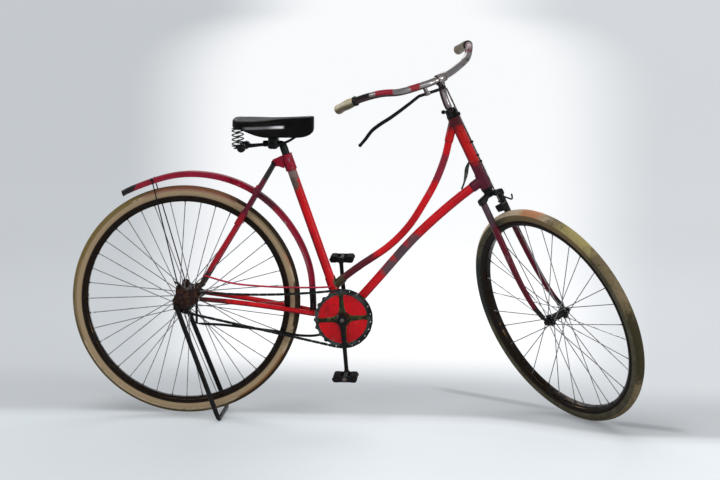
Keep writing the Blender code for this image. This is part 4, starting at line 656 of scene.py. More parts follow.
# Wheels
TYRE_R = 0.3555
TYRE_MID = 0.3365               # where a tyre is widest
TYRE_HALF = 0.0185
RIM_IN, RIM_SEAT, RIM_LIP, RIM_HALF = 0.306, 0.3165, 0.3205, 0.0165
CROSS = radians(58)
LAY = 0.0015
TREAD_RIBS = 7
TREAD_DEEP = 0.0006
TYRE_WRAP, TREAD_WRAP = radians(122), radians(62)
NIPPLE_Y = 0.006


def tyre(name, body, centre, axis, looks_of):
    """Tyre with a ribbed tread and plain walls."""
    profile, looks = [(-0.012, RIM_SEAT + 0.0004), (-0.0152, RIM_LIP + 0.0008)], [1, 1]
    count = 56
    for k in range(count + 1):
        a = TYRE_WRAP * (2 * k / count - 1)
        tread = abs(a) < TREAD_WRAP
        groove = 0.5 - 0.5 * cos(TAU * TREAD_RIBS * (a / TREAD_WRAP / 2 + 0.5))
        deep = TREAD_DEEP * groove if tread else 0
        profile.append((TYRE_HALF * sin(a), TYRE_MID + (TYRE_R - TYRE_MID) * cos(a) - deep))
        looks.append(0 if tread else 1)
    profile += [(0.0152, RIM_LIP + 0.0008), (0.012, RIM_SEAT + 0.0004)]
    looks += [1, 1]
    shape = Shape()
    shape.turn(centre, axis, profile, looks, 192, closed=True)
    shape.piece(name, looks_of, body)


def rim(name, body, centre, axis, spokes):
    """Westwood rim: rolled lips, hollow crown, and a nipple's seat at every spoke."""
    half = [(RIM_HALF - 0.0034, RIM_SEAT), (RIM_HALF - 0.0022, RIM_LIP), (RIM_HALF - 0.0006, RIM_LIP),
        (RIM_HALF, RIM_LIP - 0.0006), (RIM_HALF, 0.316), (RIM_HALF - 0.0012, 0.3133), (0.011, 0.3078),
        (0.0085, 0.3064), (0.006, RIM_IN)]
    shape = Shape()
    shape.turn(centre, axis, half + [(-h, r) for h, r in half[::-1]], 0, 160, closed=True)
    x, y, z = wheel_axes(axis)
    for k in range(spokes):
        side, layer, angle, _ = spoke_row(k, spokes)
        out = cos(angle) * x + sin(angle) * y
        seat = centre + out * RIM_IN + z * (side * NIPPLE_Y + layer * LAY)
        shape.turn(seat, -out, [(-0.0004, 0.0034), (0.0006, 0.0032), (0.001, 0.0022)], 0, 10)
    shape.piece(name, ["rim"], body)


def wheel_axes(axis):
    """The part's own axes of a wheel: x is Y cross the axis, unless that vanishes."""
    z = Vector(axis).normalized()
    x = Y.cross(z)
    x = x.normalized() if x.length > 1e-6 else X
    x = (x - x.dot(z) * z).normalized()
    return x, z.cross(x), z


def spoke_row(k, count):
    """Side and layer of a spoke, and its angle at the rim and at the flange."""
    side, layer = (1 if k % 2 else -1), (1 if (k // 2) % 2 else -1)
    angle = TAU * k / count
    return side, layer, angle, angle - layer * CROSS


def spoked_hub(name, body, centre, axis, hub, bore, flange, flange_r, spokes, looks):
    """Hub barrel, its oiler band, and crossed spokes with elbows, heads and nipples."""
    shape = Shape()
    shape.turn(centre, axis, hub, bore=bore)
    x, y, z = wheel_axes(axis)
    for k in range(spokes):
        side, layer, angle, start = spoke_row(k, spokes)
        foot = cos(start) * x + sin(start) * y
        out = cos(angle) * x + sin(angle) * y
        a = centre + foot * flange_r + z * (side * flange + layer * LAY)
        b = centre + out * (RIM_IN - 0.0006) + z * (side * NIPPLE_Y + layer * LAY)
        along = (b - a).normalized()
        shape.tube([a, b - along * 0.006], SPOKE_R, 1, 6, lip=0)
        shape.tube([b - along * 0.013, b], 0.0019, 1, 8, radii=[0.0016, 0.002])
        head = centre + foot * flange_r + z * (side * flange - layer * 0.0038)
        shape.tube([a, head], 0.0011, 1, 6, lip=0)
        shape.tube(through(head, z, 0.0004), HEAD_SPOKE_R, 1, 8)
    shape.piece(name, looks, body)


REAR_HUB = [(-0.0485, 0.0158), (-0.0478, 0.0165), (-0.0394, 0.0165), (-0.0394, 0.0205), (-0.0345, 0.0205),
    (-0.0336, 0.0225), (-0.0326, 0.0239), (-0.0316, 0.024), (-0.0284, 0.024), (-0.0274, 0.0234),
    (-0.0262, 0.019), (-0.0225, 0.0165), (-0.005, 0.016), (-0.0045, 0.017), (0.0045, 0.017), (0.005, 0.016),
    (0.0225, 0.0165), (0.0262, 0.019), (0.0274, 0.0234), (0.0284, 0.024), (0.0316, 0.024), (0.0326, 0.0236),
    (0.0345, 0.0158), (0.044, 0.0138), (0.0485, 0.0128)]
FRONT_HALF = [(0.0045, 0.012), (0.005, 0.011), (0.018, 0.0112), (0.0226, 0.013), (0.0238, 0.018),
    (0.0246, 0.019), (0.0296, 0.019), (0.0302, 0.018), (0.031, 0.013), (0.0334, 0.012), (0.034, 0.0112)]
FRONT_HUB = [(-h, r) for h, r in FRONT_HALF[::-1]] + FRONT_HALF
SPOKE_R, HEAD_SPOKE_R = 0.0014, 0.0017
REAR_SPOKES, FRONT_SPOKES = 40, 32


def add_wheels():
    rear, front = ("rear_wheel", REAR, Y), ("front_wheel", HUB, RIGHT)
    tyre("rear_tyre", *rear, ["tread", "wall"])
    tyre("front_tyre", *front, ["front_tread", "front_shaded_wall"])
    rim("rear_rim", *rear, REAR_SPOKES)
    rim("front_rim", *front, FRONT_SPOKES)
    spoked_hub("rear_hub", *rear, REAR_HUB, 0.0054, 0.03, 0.02, REAR_SPOKES, ["cluster", "spoke"])
    spoked_hub("front_hub", *front, FRONT_HUB, 0.0049, 0.027, 0.0155, FRONT_SPOKES, ["black", "spoke"])


add_wheels()


# Frame tubes
LUG_WALL = 0.0022
HEAD_R, HEAD_LOW, HEAD_TOP, HEAD_BORE = 0.016, 0.448, 0.68, 0.0135
RING_R = HEAD_R + 0.0025       # the head's two thicker ends
DOWN_R, LOOP_R, SEAT_R = 0.014, 0.0112, 0.014
LOOP_LINE = [(0.8105, 0.874), (0.796, 0.81), (0.77, 0.74), (0.734, 0.672), (0.688, 0.6), (0.627, 0.537),
    (0.544, 0.479), (0.501, 0.447), (0.48, 0.4285)]
DOWN_LINE = [(0.896, 0.7325), (0.834, 0.6835), (0.76, 0.618), (0.688, 0.546), (0.599, 0.442),
    (0.511, 0.341)]
SEAT_DIR = Vector((-0.3361, 0, 0.9418)).normalized()
CHAIN_STAY = [(0.0493, 0.062, 0.3745), (0.14, 0.052, 0.366), (0.25, 0.0416, 0.352), (0.345, 0.0323, 0.337),
    (0.4, 0.0266, 0.328), (0.459, 0.0215, 0.3212)]
SEAT_STAY = [(0.0465, 0.062, 0.4049), (0.1, 0.056, 0.495), (0.16, 0.044, 0.594), (0.2244, 0.036, 0.703),
    (0.264, 0.0176, 0.77), (0.2735, 0.0176, 0.786)]
CHAIN_STAY_R, SEAT_STAY_R, BRIDGE_R, BRACE_R = 0.008, 0.0075, 0.006, 0.0028
SHELL_R, SHELL_HALF, SHELL_BORE = 0.021, 0.034, 0.0112
TYRE_ROOM = 0.4105             # radius of the mudguard where the bridge holds it
STAY_CLIP = [(0.164, 0.0436, 0.6007), (0.19, 0.0401, 0.6441)]
SIDES = (("right", -1), ("left", 1))


def flat_line(points, count=6):
    """Smooth line in the bicycle's middle plane."""
    return [at(p.x, 0, p.y) for p in smooth([Vector(p) for p in points], count)]


def side_line(points, sign, count=6):
    """Smooth line on the right or the left side."""
    return [at(x, sign * y, z) for x, y, z in smooth([Vector(p) for p in points], count)]


loop_line = flat_line(LOOP_LINE)
down_line = flat_line(DOWN_LINE)


def add_frame():
    shape = Shape()
    rings = [(HEAD_LOW, HEAD_R + 0.002), (HEAD_LOW + 0.0006, RING_R), (HEAD_LOW + 0.0115, RING_R),
        (HEAD_LOW + 0.014, HEAD_R), (HEAD_TOP - 0.014, HEAD_R), (HEAD_TOP - 0.0115, RING_R),
        (HEAD_TOP - 0.0006, RING_R), (HEAD_TOP, HEAD_R + 0.002)]
    shape.turn(FOOT, UP, rings, 0, 56, bore=HEAD_BORE)
    for line, radius, depth in ((loop_line, LOOP_R, 0.016), (down_line, DOWN_R, 0.022)):
        inward = (line[1] - line[0]).normalized()
        mitred_sleeve(shape, line[0], inward, depth, radius, FOOT, UP, HEAD_R - 0.001)
        foot = line[0] - inward * meeting(line[0], -inward, FOOT, UP, HEAD_R)
        middle = FOOT + UP * (foot - FOOT).dot(UP)
        lug_half = radius + 0.012
        shape.turn(middle, UP, drum(-lug_half, lug_half, HEAD_R + 0.0018, 0.002, 0.0016), 0, 56)
    shape.piece("head_tube", ["head"])

    for name, line, radius, look in (("loop_tube", loop_line, LOOP_R, "loop"),
            ("down_tube", down_line, DOWN_R, "down")):
        shape.tube(line, radius, 0, 28)
        shape.piece(name, [look])

    shape.tube([BB + SEAT_DIR * 0.024, BB + SEAT_DIR * 0.53], SEAT_R, 0, 36)
    lug = BB + SEAT_DIR * 0.108
    wide = SEAT_R + LUG_WALL
    shape.turn(lug, SEAT_DIR, drum(-0.024, 0.024, wide, 0.0015, LUG_WALL - GAP), 0, 40)
    sleeve(shape, loop_line[-1], loop_line[-2] - loop_line[-1], 0.014, LOOP_R, 0.0205)
    shape.piece("seat_tube", ["seat"])

    ear = at(0.2745, 0, 0.7905)
    lug_r = SEAT_R + 0.0033
    low, high = BB + SEAT_DIR * 0.48, BB + SEAT_DIR * 0.532
    shape.turn(low, SEAT_DIR, [(0.0, lug_r - 0.0015), (0.0015, lug_r), (0.048, lug_r),
        (0.0505, lug_r + 0.0012), (0.052, lug_r)], 0, 44, bore=SEAT_R + GAP)
    web = [(0.2665, 0.784), (0.274, 0.78), (0.288, 0.78), (0.306, 0.774), (0.306, 0.811), (0.296, 0.812),
        (0.27, 0.8), (0.2655, 0.792)]
    shape.plate([at(x, 0, z) for x, z in web], -Y * 0.008, Y * 0.008)
    bolt = through(ear, Y, 0.0275)
    shape.tube(bolt, 0.004, 1, 16)
    for s, spot in zip((-1, 1), bolt):
        shape.hexagon(spot - Y * s * 0.001, Y * s, 0.0125, 0.005, 1)
    shape.piece("seat_lug", ["seat_lug", "black"], bevel=0.001)

    shell = drum(-SHELL_HALF, SHELL_HALF, SHELL_R, 0.001, 0.001)
    shape.turn(BB, Y, shell, 0, 56, bore=SHELL_BORE)
    sleeve(shape, down_line[-1], down_line[-2] - down_line[-1], 0.02, DOWN_R, 0.012)
    sleeve(shape, BB + SEAT_DIR * 0.024, SEAT_DIR, 0.02, SEAT_R, 0.006)
    for name, sign in SIDES:
        stay = side_line(CHAIN_STAY, sign)
        shape.turn(stay[-1], stay[-2] - stay[-1],
            [(-0.004, 0.0098), (0.014, 0.0098), (0.017, CHAIN_STAY_R + 0.0002)], 0, 28)
    shape.piece("bottom_bracket", ["paint"])

    for name, sign in SIDES:
        line = side_line(CHAIN_STAY, sign)
        radii = [CHAIN_STAY_R * min(1.0, 0.82 + 0.18 * k / 6) for k in range(len(line))]
        shape.tube(line, CHAIN_STAY_R, 0, 24, radii=radii)
        shape.piece("chain_stay_" + name, ["chain_stay"])
        line = side_line(SEAT_STAY, sign)
        radii = [SEAT_STAY_R * min(1.0, 0.84 + 0.16 * k / 6) for k in range(len(line))]
        shape.tube(line, SEAT_STAY_R, 0, 24, radii=radii)
        low, high = [at(x, sign * y, z) for x, y, z in STAY_CLIP]
        wide = SEAT_STAY_R + 0.003
        reach = (high - low).length
        shape.turn(low, high - low, drum(0.0, reach, wide, 0.0012, 0.0014), 0, 28)
        shape.piece("seat_stay_" + name, ["stay"])

    for name, middle, reach in (("chain_bridge", at(0.404, 0, 0.33), 0.019),
            ("seat_bridge", seat_bridge(), 0.0275)):
        shape.tube(through(middle, Y, reach), BRIDGE_R, 0, 24)
        shape.turn(middle - Y * 0.006, Y, drum(0.0, 0.012, 0.007, 0.001, 0.0006), 0, 24)
        shape.piece(name, ["paint"])

    brace = [(0.8705, 0.799), (0.864, 0.78), (0.8615, 0.76), (0.856, 0.735), (0.8485, 0.715)]
    line = flat_line(brace, 5)
    radii = [BRACE_R + 0.0034 * sin(pi * min(1.0, k / (len(line) * 0.7))) for k in range(len(line))]
    shape.tube(line, BRACE_R, 0, 14, radii=radii)
    shape.piece("head_brace", ["verdigris"])


def seat_bridge():
    """Middle of the seat stays' bridge, which holds the mudguard."""
    angle, radius = radians(57.5), TYRE_ROOM + 0.0006 + GAP + BRIDGE_R
    return REAR + radius * way(angle)


add_frame()


# Rear ends, axles and stand
END_OUTLINE = [(-0.03, 0.338), (-0.008, 0.34), (0.015, 0.348), (0.048, 0.365), (0.048, 0.3835),
    (0.038, 0.388), (0.0533, 0.3997), (0.0387, 0.4083), (0.01, 0.4), (-0.006, 0.418), (-0.022, 0.414),
    (-0.024, 0.386), (-0.032, 0.366)]
END_IN, END_T = 0.06, 0.004
STAND_PIN = (-0.019, 0.349)
STAND_Y = 0.0735
STAND_FOOT = (0.1127, 0.099)
STAND_R, LEG_R = 0.0062, 0.0076
# name, body, centre, axis, inner face and thickness of the ends, radius, reach, nut, cone and looks
AXLES = (("rear_axle", "frame", REAR, Y, END_IN, END_T, 0.0048, 0.0745, 0.0155, 0.008, ["cluster"]),
    ("front_axle", "fork", HUB, RIGHT, 0.0392, 0.004, 0.0043, 0.052, 0.014, 0.0072, ["black"]))
HOOK = [(0.006, 0.393), (-0.003, 0.408), (-0.013, 0.42), (-0.027, 0.427)]


def add_rear_ends():
    for name, sign in SIDES:
        shape = Shape()
        corners = [Vector((x, z, 0)) for x, z in END_OUTLINE]
        outline = []
        for a, b, c in zip([corners[-1]] + corners, corners, corners[1:] + corners[:1]):
            cut = min((b - a).length, (c - b).length) * 0.28
            p, q = b + (a - b).normalized() * cut, b + (c - b).normalized() * cut
            outline += [p, (p + 2 * b + q) / 4, q]
        pts = [at(p.x, 0, p.y) for p in outline]
        shape.plate(pts, Y * sign * END_IN, Y * sign * (END_IN + END_T))
        pin = at(STAND_PIN[0], 0, STAND_PIN[1])
        shape.tube([pin + Y * sign * END_IN, pin + Y * sign * (STAND_Y + 0.0078)], 0.0044, 0, 20)
        if name == "right":
            hook = smooth([at(x, -END_IN - END_T, z) for x, z in HOOK], 5)
            shape.tube(hook, 0.003, 0, 12)
        shape.piece("rear_end_" + name, ["cluster"], bevel=0.0005)

    for name, body, centre, axis, inner, thick, radius, reach, nut, cone, looks in AXLES:
        shape.tube(through(centre, axis, reach), radius, 0, 20)
        face = inner + thick + GAP
        for s in (-1, 1):
            out = axis * s
            shape.turn(centre, out, [(face, radius + 0.0052), (face + 0.0012, radius + 0.0052)], 0, 28)
            shape.hexagon(centre + out * (face + 0.0012), out, nut, 0.0056)
            shape.turn(centre, out, [(inner - 0.0095, cone * 0.8), (inner - 0.008, cone),
                (inner - GAP, cone)], 0, 24)
        shape.piece(name, looks, body)

    top = at(STAND_PIN[0], STAND_Y, STAND_PIN[1])
    low = at(STAND_FOOT[0], STAND_FOOT[1], STAND_R)
    along = (low - top).normalized()
    bend = 0.02
    half = [top + along * 0.004, top.lerp(low, 0.5), low - along * bend,
        low - along * bend * 0.35 - Y * bend * 0.06, low - Y * bend * 0.5, low - Y * bend]
    mirrored = [Vector((p.x, 2 * REAR.y - p.y, p.z)) for p in half[::-1]]
    path = smooth(half, 5) + smooth(mirrored, 5)
    legs = [min(LEG_R, STAND_R + max(0.0, p.z - STAND_R) * 0.06) for p in path]
    shape.tube(path, STAND_R, 0, 20, radii=legs)
    for s in (-1, 1):
        pin = at(STAND_PIN[0], s * STAND_Y, STAND_PIN[1])
        eye = drum(-0.0065, 0.0065, 0.0095, 0.0007, 0.0007)
        shape.turn(pin, Y, eye, 0, 32, bore=0.005)
    shape.piece("stand", ["black"], "stand_body")


add_rear_ends()


# Chain drive
PITCH_L = 0.0254
RING_TEETH, COG_TEETH = 22, 8
RING_WRAP, COG_WRAP, RUN_LINKS = 12, 4, 19
CHAIN_Y, CHAIN_IN, CHAIN_OUT, CHAIN_H = -0.042, 0.0028, 0.0045, 0.0033
SAG = 0.013
NOTCH = 0.0008
RING_PR = PITCH_L / (2 * sin(pi / RING_TEETH))
COG_PR = PITCH_L / (2 * sin(pi / COG_TEETH))
RING_END = pi / RING_TEETH * RING_WRAP
COG_END = pi / COG_TEETH * COG_WRAP
TOOTH_TOP, TOOTH_FOOT, TOOTH_HALF = 0.0003, 0.0041, 0.0025
CRANK, CRANK_TILT, CRANK_Y = 0.165, radians(5.0), 0.068
AXLE_R, AXLE_HALF = 0.0079, 0.0742
DISC_Y, RIB_END = 0.003, 0.0758
RIB_SECTION = [(1, 0), (0.8, 0.75), (0.35, 1.0), (-0.35, 1.0), (-0.8, 0.75), (-1, 0)]
drive_line = Vector((BB.x - REAR.x, 0, BB.z - REAR.z)).normalized()
drive_rise = Vector((-drive_line.z, 0, drive_line.x))


def polar(centre, radius, angle, y=0.0):
    """Point on a sprocket's circle, its angle counted from the line between the two axles."""
    return centre + radius * (cos(angle) * drive_line + sin(angle) * drive_rise) + Y * y


def teeth_outline(centre, pitch_r, teeth, phase):
    """Sprocket outline with rounded tooth tips and roots."""
    root, tip = pitch_r - TOOTH_FOOT, pitch_r + TOOTH_TOP
    # half the tooth's width, share of its height
    flank = [(0.0078, 0.0), (0.0066, 0.12), (0.005, 0.6), (0.0036, 0.92), (0.002, 1.0)]
    points = []
    for k in range(teeth):
        mid = phase + (k + 0.5) * TAU / teeth
        for half, share in [(-w, s) for w, s in flank] + flank[::-1]:
            radius = root + (tip - root) * share
            points.append(polar(centre, radius, mid + half / radius))
    return points


def capsule(shape, a, b, radius, low, high, look=0, sides=6):
    """Link plate or block with round ends, between two offsets along Y."""
    along = (b - a).normalized()
    up = Vector((-along.z, 0, along.x))
    outline = []
    for centre, start in ((b, -pi / 2), (a, pi / 2)):
        for k in range(sides + 1):
            t = start + pi * k / sides
            outline.append(centre + radius * (cos(t) * along + sin(t) * up))
    shape.plate(outline, Y * low, Y * high, look)


def chain_points():
    """Pitch points of the chain: round the ring, along the sagging run, round the cog and back on top."""
    points = [polar(BB, RING_PR, -RING_END + k * TAU / RING_TEETH, CHAIN_Y) for k in range(RING_WRAP + 1)]
    last, first = points[-1], polar(REAR, COG_PR, pi - COG_END, CHAIN_Y)
    for k in range(1, RUN_LINKS):
        t = k / RUN_LINKS
        points.append(last.lerp(first, t) - Vector((0, 0, 4 * SAG * t * (1 - t))))
    points += [polar(REAR, COG_PR, pi - COG_END + k * TAU / COG_TEETH,
        CHAIN_Y) for k in range(COG_WRAP + 1)]
    last, first = points[-1], points[0]
    return points + [last.lerp(first, k / RUN_LINKS) for k in range(1, RUN_LINKS)]


def add_chain():
    """Block chain: a block at each pitch point and a pair of side plates to the next, with rivets."""
    shape = Shape()
    points = chain_points()
    for k, p in enumerate(points):
        after, before = points[(k + 1) % len(points)], points[k - 1]
        along = (after - before).normalized()
        outward = Y.cross(along).normalized()
        tall = CHAIN_H * 0.92
        off = min((p - (BB + CHAIN_Y * Y)).length - RING_PR, (p - (REAR + CHAIN_Y * Y)).length - COG_PR)
        low = NOTCH if off < 2 * CHAIN_H else -tall
        half = 0.0058
        corners = [(-1, low), (1, low), (1, tall * 0.7), (0.7, tall), (-0.7, tall), (-1, tall * 0.7)]
        block = [p + along * s * half + outward * h for s, h in corners]
        shape.plate(block, *through(0 * Y, Y, CHAIN_IN - 0.0001))
        gap = (after - p).normalized() * 0.0036
        for s in (-1, 1):
            near, far = sorted((s * CHAIN_IN, s * CHAIN_OUT))
            capsule(shape, p + gap, after - gap, CHAIN_H, near, far)
            for spot in (p + gap * 1.1, after - gap * 1.1):
                shape.turn(spot, Y * s, [(CHAIN_OUT, 0.0016), (CHAIN_OUT + GAP, 0.0012)], 0, 8)
    shape.piece("chain", ["chain"], crease=30)



def add_drive():
    shape = Shape()
    shape.plate(teeth_outline(BB, RING_PR, RING_TEETH, RING_END), *through(CHAIN_Y * Y, Y, TOOTH_HALF), 1)
    face = -CHAIN_Y
    # height, radius and the look of the span that ends there
    dish = [(-0.003, 0.074, 0), (-0.003, 0.0792, 1), (-0.0022, 0.08, 1), (0.0036, 0.08, 1),
        (0.0042, 0.0794, 1), (0.0042, 0.0765, 1), (0.0036, 0.0755, 1), (0.0032, 0.0748, 0),
        (0.0031, 0.07, 0), (0.0031, 0.024, 0), (0.0036, 0.0228, 2), (0.0054, 0.0206, 2), (0.007, 0.0194, 2),
        (0.019, 0.019, 2), (0.0197, 0.0182, 2)]
    shape.turn(BB, -Y, [(face + h, r) for h, r, _ in dish], [look for _, _, look in dish] + [2], 72)
    for k in range(4):
        a = -pi / 2 + CRANK_TILT + pi / 2 * k
        out = way(a)
        across = Vector((-sin(a), 0, cos(a)))
        start, end = BB + out * 0.02, BB + out * RIB_END
        lift = Y * (CHAIN_Y - DISC_Y)
        rings = []
        for t, wide, tall in ((0.0, 0.0125, 0.0026), (0.2, 0.0085, 0.0024), (0.8, 0.0062, 0.002),
                (1.0, 0.0095, 0.0014)):
            p = start.lerp(end, t) + lift
            rings.append([p + across * wide * c - Y * tall * s for c, s in RIB_SECTION])
        shape.rings(rings, 3)
        shape.turn(end - out * 0.01 + lift - Y * 0.002, -Y,
            [(0.0, 0.0036), (0.001, 0.0033), (0.0014, 0.002)], 2, 14)
    shape.piece("chainring", ["paint", "ring", "cluster", "brass"], "crank")

    shape.plate(teeth_outline(REAR, COG_PR, COG_TEETH, COG_END), *through(CHAIN_Y * Y, Y, TOOTH_HALF))
    shape.turn(REAR + Y * CHAIN_Y, -Y, [(0.0024, 0.0225), (0.004, 0.0222), (0.0046, 0.0205)], 0, 40,
        bore=0.0168)
    shape.piece("sprocket", ["chain"], "rear_wheel", crease=30)

    shape.tube(through(BB, Y, AXLE_HALF), AXLE_R, 0, 28)
    for s in (-1, 1):
        shape.turn(BB, Y * s, [(0.0246, 0.0098), (0.0255, 0.0104), (0.0324, 0.0104)], 0, 28)
    shape.piece("crank_axle", ["steel"], "crank")

    for name, sign in SIDES:
        eye = BB + CRANK * way(CRANK_TILT + sign * pi / 2)
        add_crank(name, sign, eye)
        add_pedal(name, sign, eye)


SPINDLE_R = 0.005
PEDAL_IN, PEDAL_OUT = 0.08, 0.168
PEDAL_LONG, RUBBER, RIBS = 0.076, 0.022, 6


def add_crank(name, sign, eye):
    """Forged crank: oval arm between two bosses, cotter pin through the upper one, pedal spindle."""
    shape = Shape()
    out = (eye - BB).normalized()
    y = Y * sign
    mid = y * CRANK_Y
    path = [BB + mid + out * 0.008, BB + mid + out * 0.03, BB + mid + out * 0.09, eye + mid - out * 0.02,
        eye + mid - out * 0.004]
    widths = [0.0105, 0.0085, 0.0066, 0.0062, 0.007]
    across = out.cross(y)
    rings = []
    for p, w in zip(path, widths):
        thick = 0.0056 * (0.8 + 0.2 * w / 0.0125)
        rings.append([p + across * w * cos(t) + y * thick * sin(t) for t in turns(20)])
    shape.rings(rings)
    boss = drum(-0.006, 0.006, 0.0155, 0.0008, 0.001)
    shape.turn(BB + mid, y, boss, 0, 40, bore=0.0083)
    tip = drum(-0.0058, 0.0058, 0.0105, 0.0008, 0.0009)
    shape.turn(eye + mid, y, tip, 0, 32)
    pin = BB + mid + across * 0.0085 - out * 0.0085
    shape.tube([pin + across * 0.004 + out * 0.01, pin + across * 0.004 - out * 0.009], 0.0036, 1, 14)
    shape.hexagon(pin + across * 0.004 - out * 0.0062, -out, 0.0095, 0.0036, 1)
    shape.tube([eye + y * CRANK_Y, eye + y * (PEDAL_OUT + 0.0044)], SPINDLE_R, 1, 16)
    shape.hexagon(eye + y * (PEDAL_OUT + 0.0006), y, 0.0135, 0.0036, 1)
    shape.piece("crank_" + name, ["black", "steel"], "crank")


def add_pedal(name, sign, eye):
    """Rubber-block pedal: barrel, two shaped end plates, and two ribbed rubbers on their rods."""
    shape = Shape()
    y = Y * sign
    barrel = [(PEDAL_IN, 0.0082), (PEDAL_IN + 0.001, 0.009), (PEDAL_IN + 0.012, 0.009),
        (PEDAL_IN + 0.018, 0.0076), (PEDAL_OUT - 0.016, 0.0074), (PEDAL_OUT - 0.01, 0.0088),
        (PEDAL_OUT - 0.001, 0.0088), (PEDAL_OUT, 0.008)]
    shape.turn(eye, y, barrel, 1, 28, bore=0.0057)
    for spot in (PEDAL_IN + 0.005, PEDAL_OUT - 0.005):
        outline = [eye + Vector((soft(cos(t), 0.55) * PEDAL_LONG / 2, 0,
            soft(sin(t), 0.75) * RUBBER * 0.4)) for t in turns(32)]
        shape.plate(outline, y * (spot - 0.0014), y * (spot + 0.0014), 1)
    inner, outer = PEDAL_IN + 0.0068, PEDAL_OUT - 0.0068
    for end in (-1, 1):
        middle = eye + Vector((end * (PEDAL_LONG / 2 - RUBBER / 2 - 0.002), 0, 0))
        rings = []
        for k in range(RIBS * 4 + 1):
            t = k / (RIBS * 4)
            swell = (1.0, 0.92, 0.86, 0.92)[k % 4] if 0 < k < RIBS * 4 else 0.93
            h, w = RUBBER / 2 * swell, RUBBER / 2 * (0.5 + 0.5 * swell)
            p = middle + y * (inner + (outer - inner) * t)
            rings.append([p + Vector((w * soft(cos(a), 0.45), 0,
                h * soft(sin(a), 0.45))) for a in turns(24)])
        shape.rings(rings, 0)
        for s, spot in ((-1, PEDAL_IN + 0.0036), (1, PEDAL_OUT - 0.0036)):
            shape.hexagon(middle + y * spot, y * s, 0.0075, 0.0026, 1)
    shape.piece("pedal_" + name, ["rubber", "black"], "pedal_%s_body" % name)


add_chain()
add_drive()


# Steered pieces
CROWN_LOW, CROWN_TOP = 0.398, 0.429
BLADE_Y, BLADE_R = 0.0345, 0.0105
BLADE = [(0.0, CROWN_TOP - 0.0065, BLADE_Y, BLADE_R), (0.0, 0.34, BLADE_Y, BLADE_R),
    (0.0, 0.25, 0.036, 0.0102), (0.001, 0.17, 0.0382, 0.0095), (0.007, 0.105, 0.04, 0.0086),
    (0.02, 0.052, 0.0412, 0.0078), (0.04, 0.013, 0.0412, 0.0072)]
TIP_IN, TIP_T = 0.0392, 0.004
ROD_N, ROD_R, ROD_LOW = 0.0335, 0.0026, 0.3843
STEER_AXES = (FWD, RIGHT, UP)
CLAMP_N, CLAMP_U = 0.03, 0.806
BAR_R, STEM_R, LEVER_R, GRIP_R, FERRULE_R = 0.0112, 0.011, 0.0048, 0.0155, 0.015
CROWN_HOOK = [(0.002, 0.395, -0.042), (0.016, 0.387, -0.044), (0.032, 0.38, -0.044), (0.04, 0.386, -0.044),
    (0.044, 0.396, -0.044)]
BAR = [(CLAMP_N, CLAMP_U, 0.018), (0.024, 0.81, 0.063), (0.002, 0.822, 0.133), (-0.029, 0.842, 0.178),
    (-0.07, 0.852, 0.213), (-0.122, 0.8546, 0.24), (-0.186, 0.8512, 0.246)]
LEVER = [(ROD_N, 0.776, 0.0), (0.031, 0.7778, 0.03), (0.0163, 0.7862, 0.09), (-0.0291, 0.7741, 0.12),
    (-0.0808, 0.7628, 0.15), (-0.1116, 0.7576, 0.175), (-0.1414, 0.7499, 0.195), (-0.1735, 0.734, 0.21),
    (-0.2, 0.7219, 0.225)]


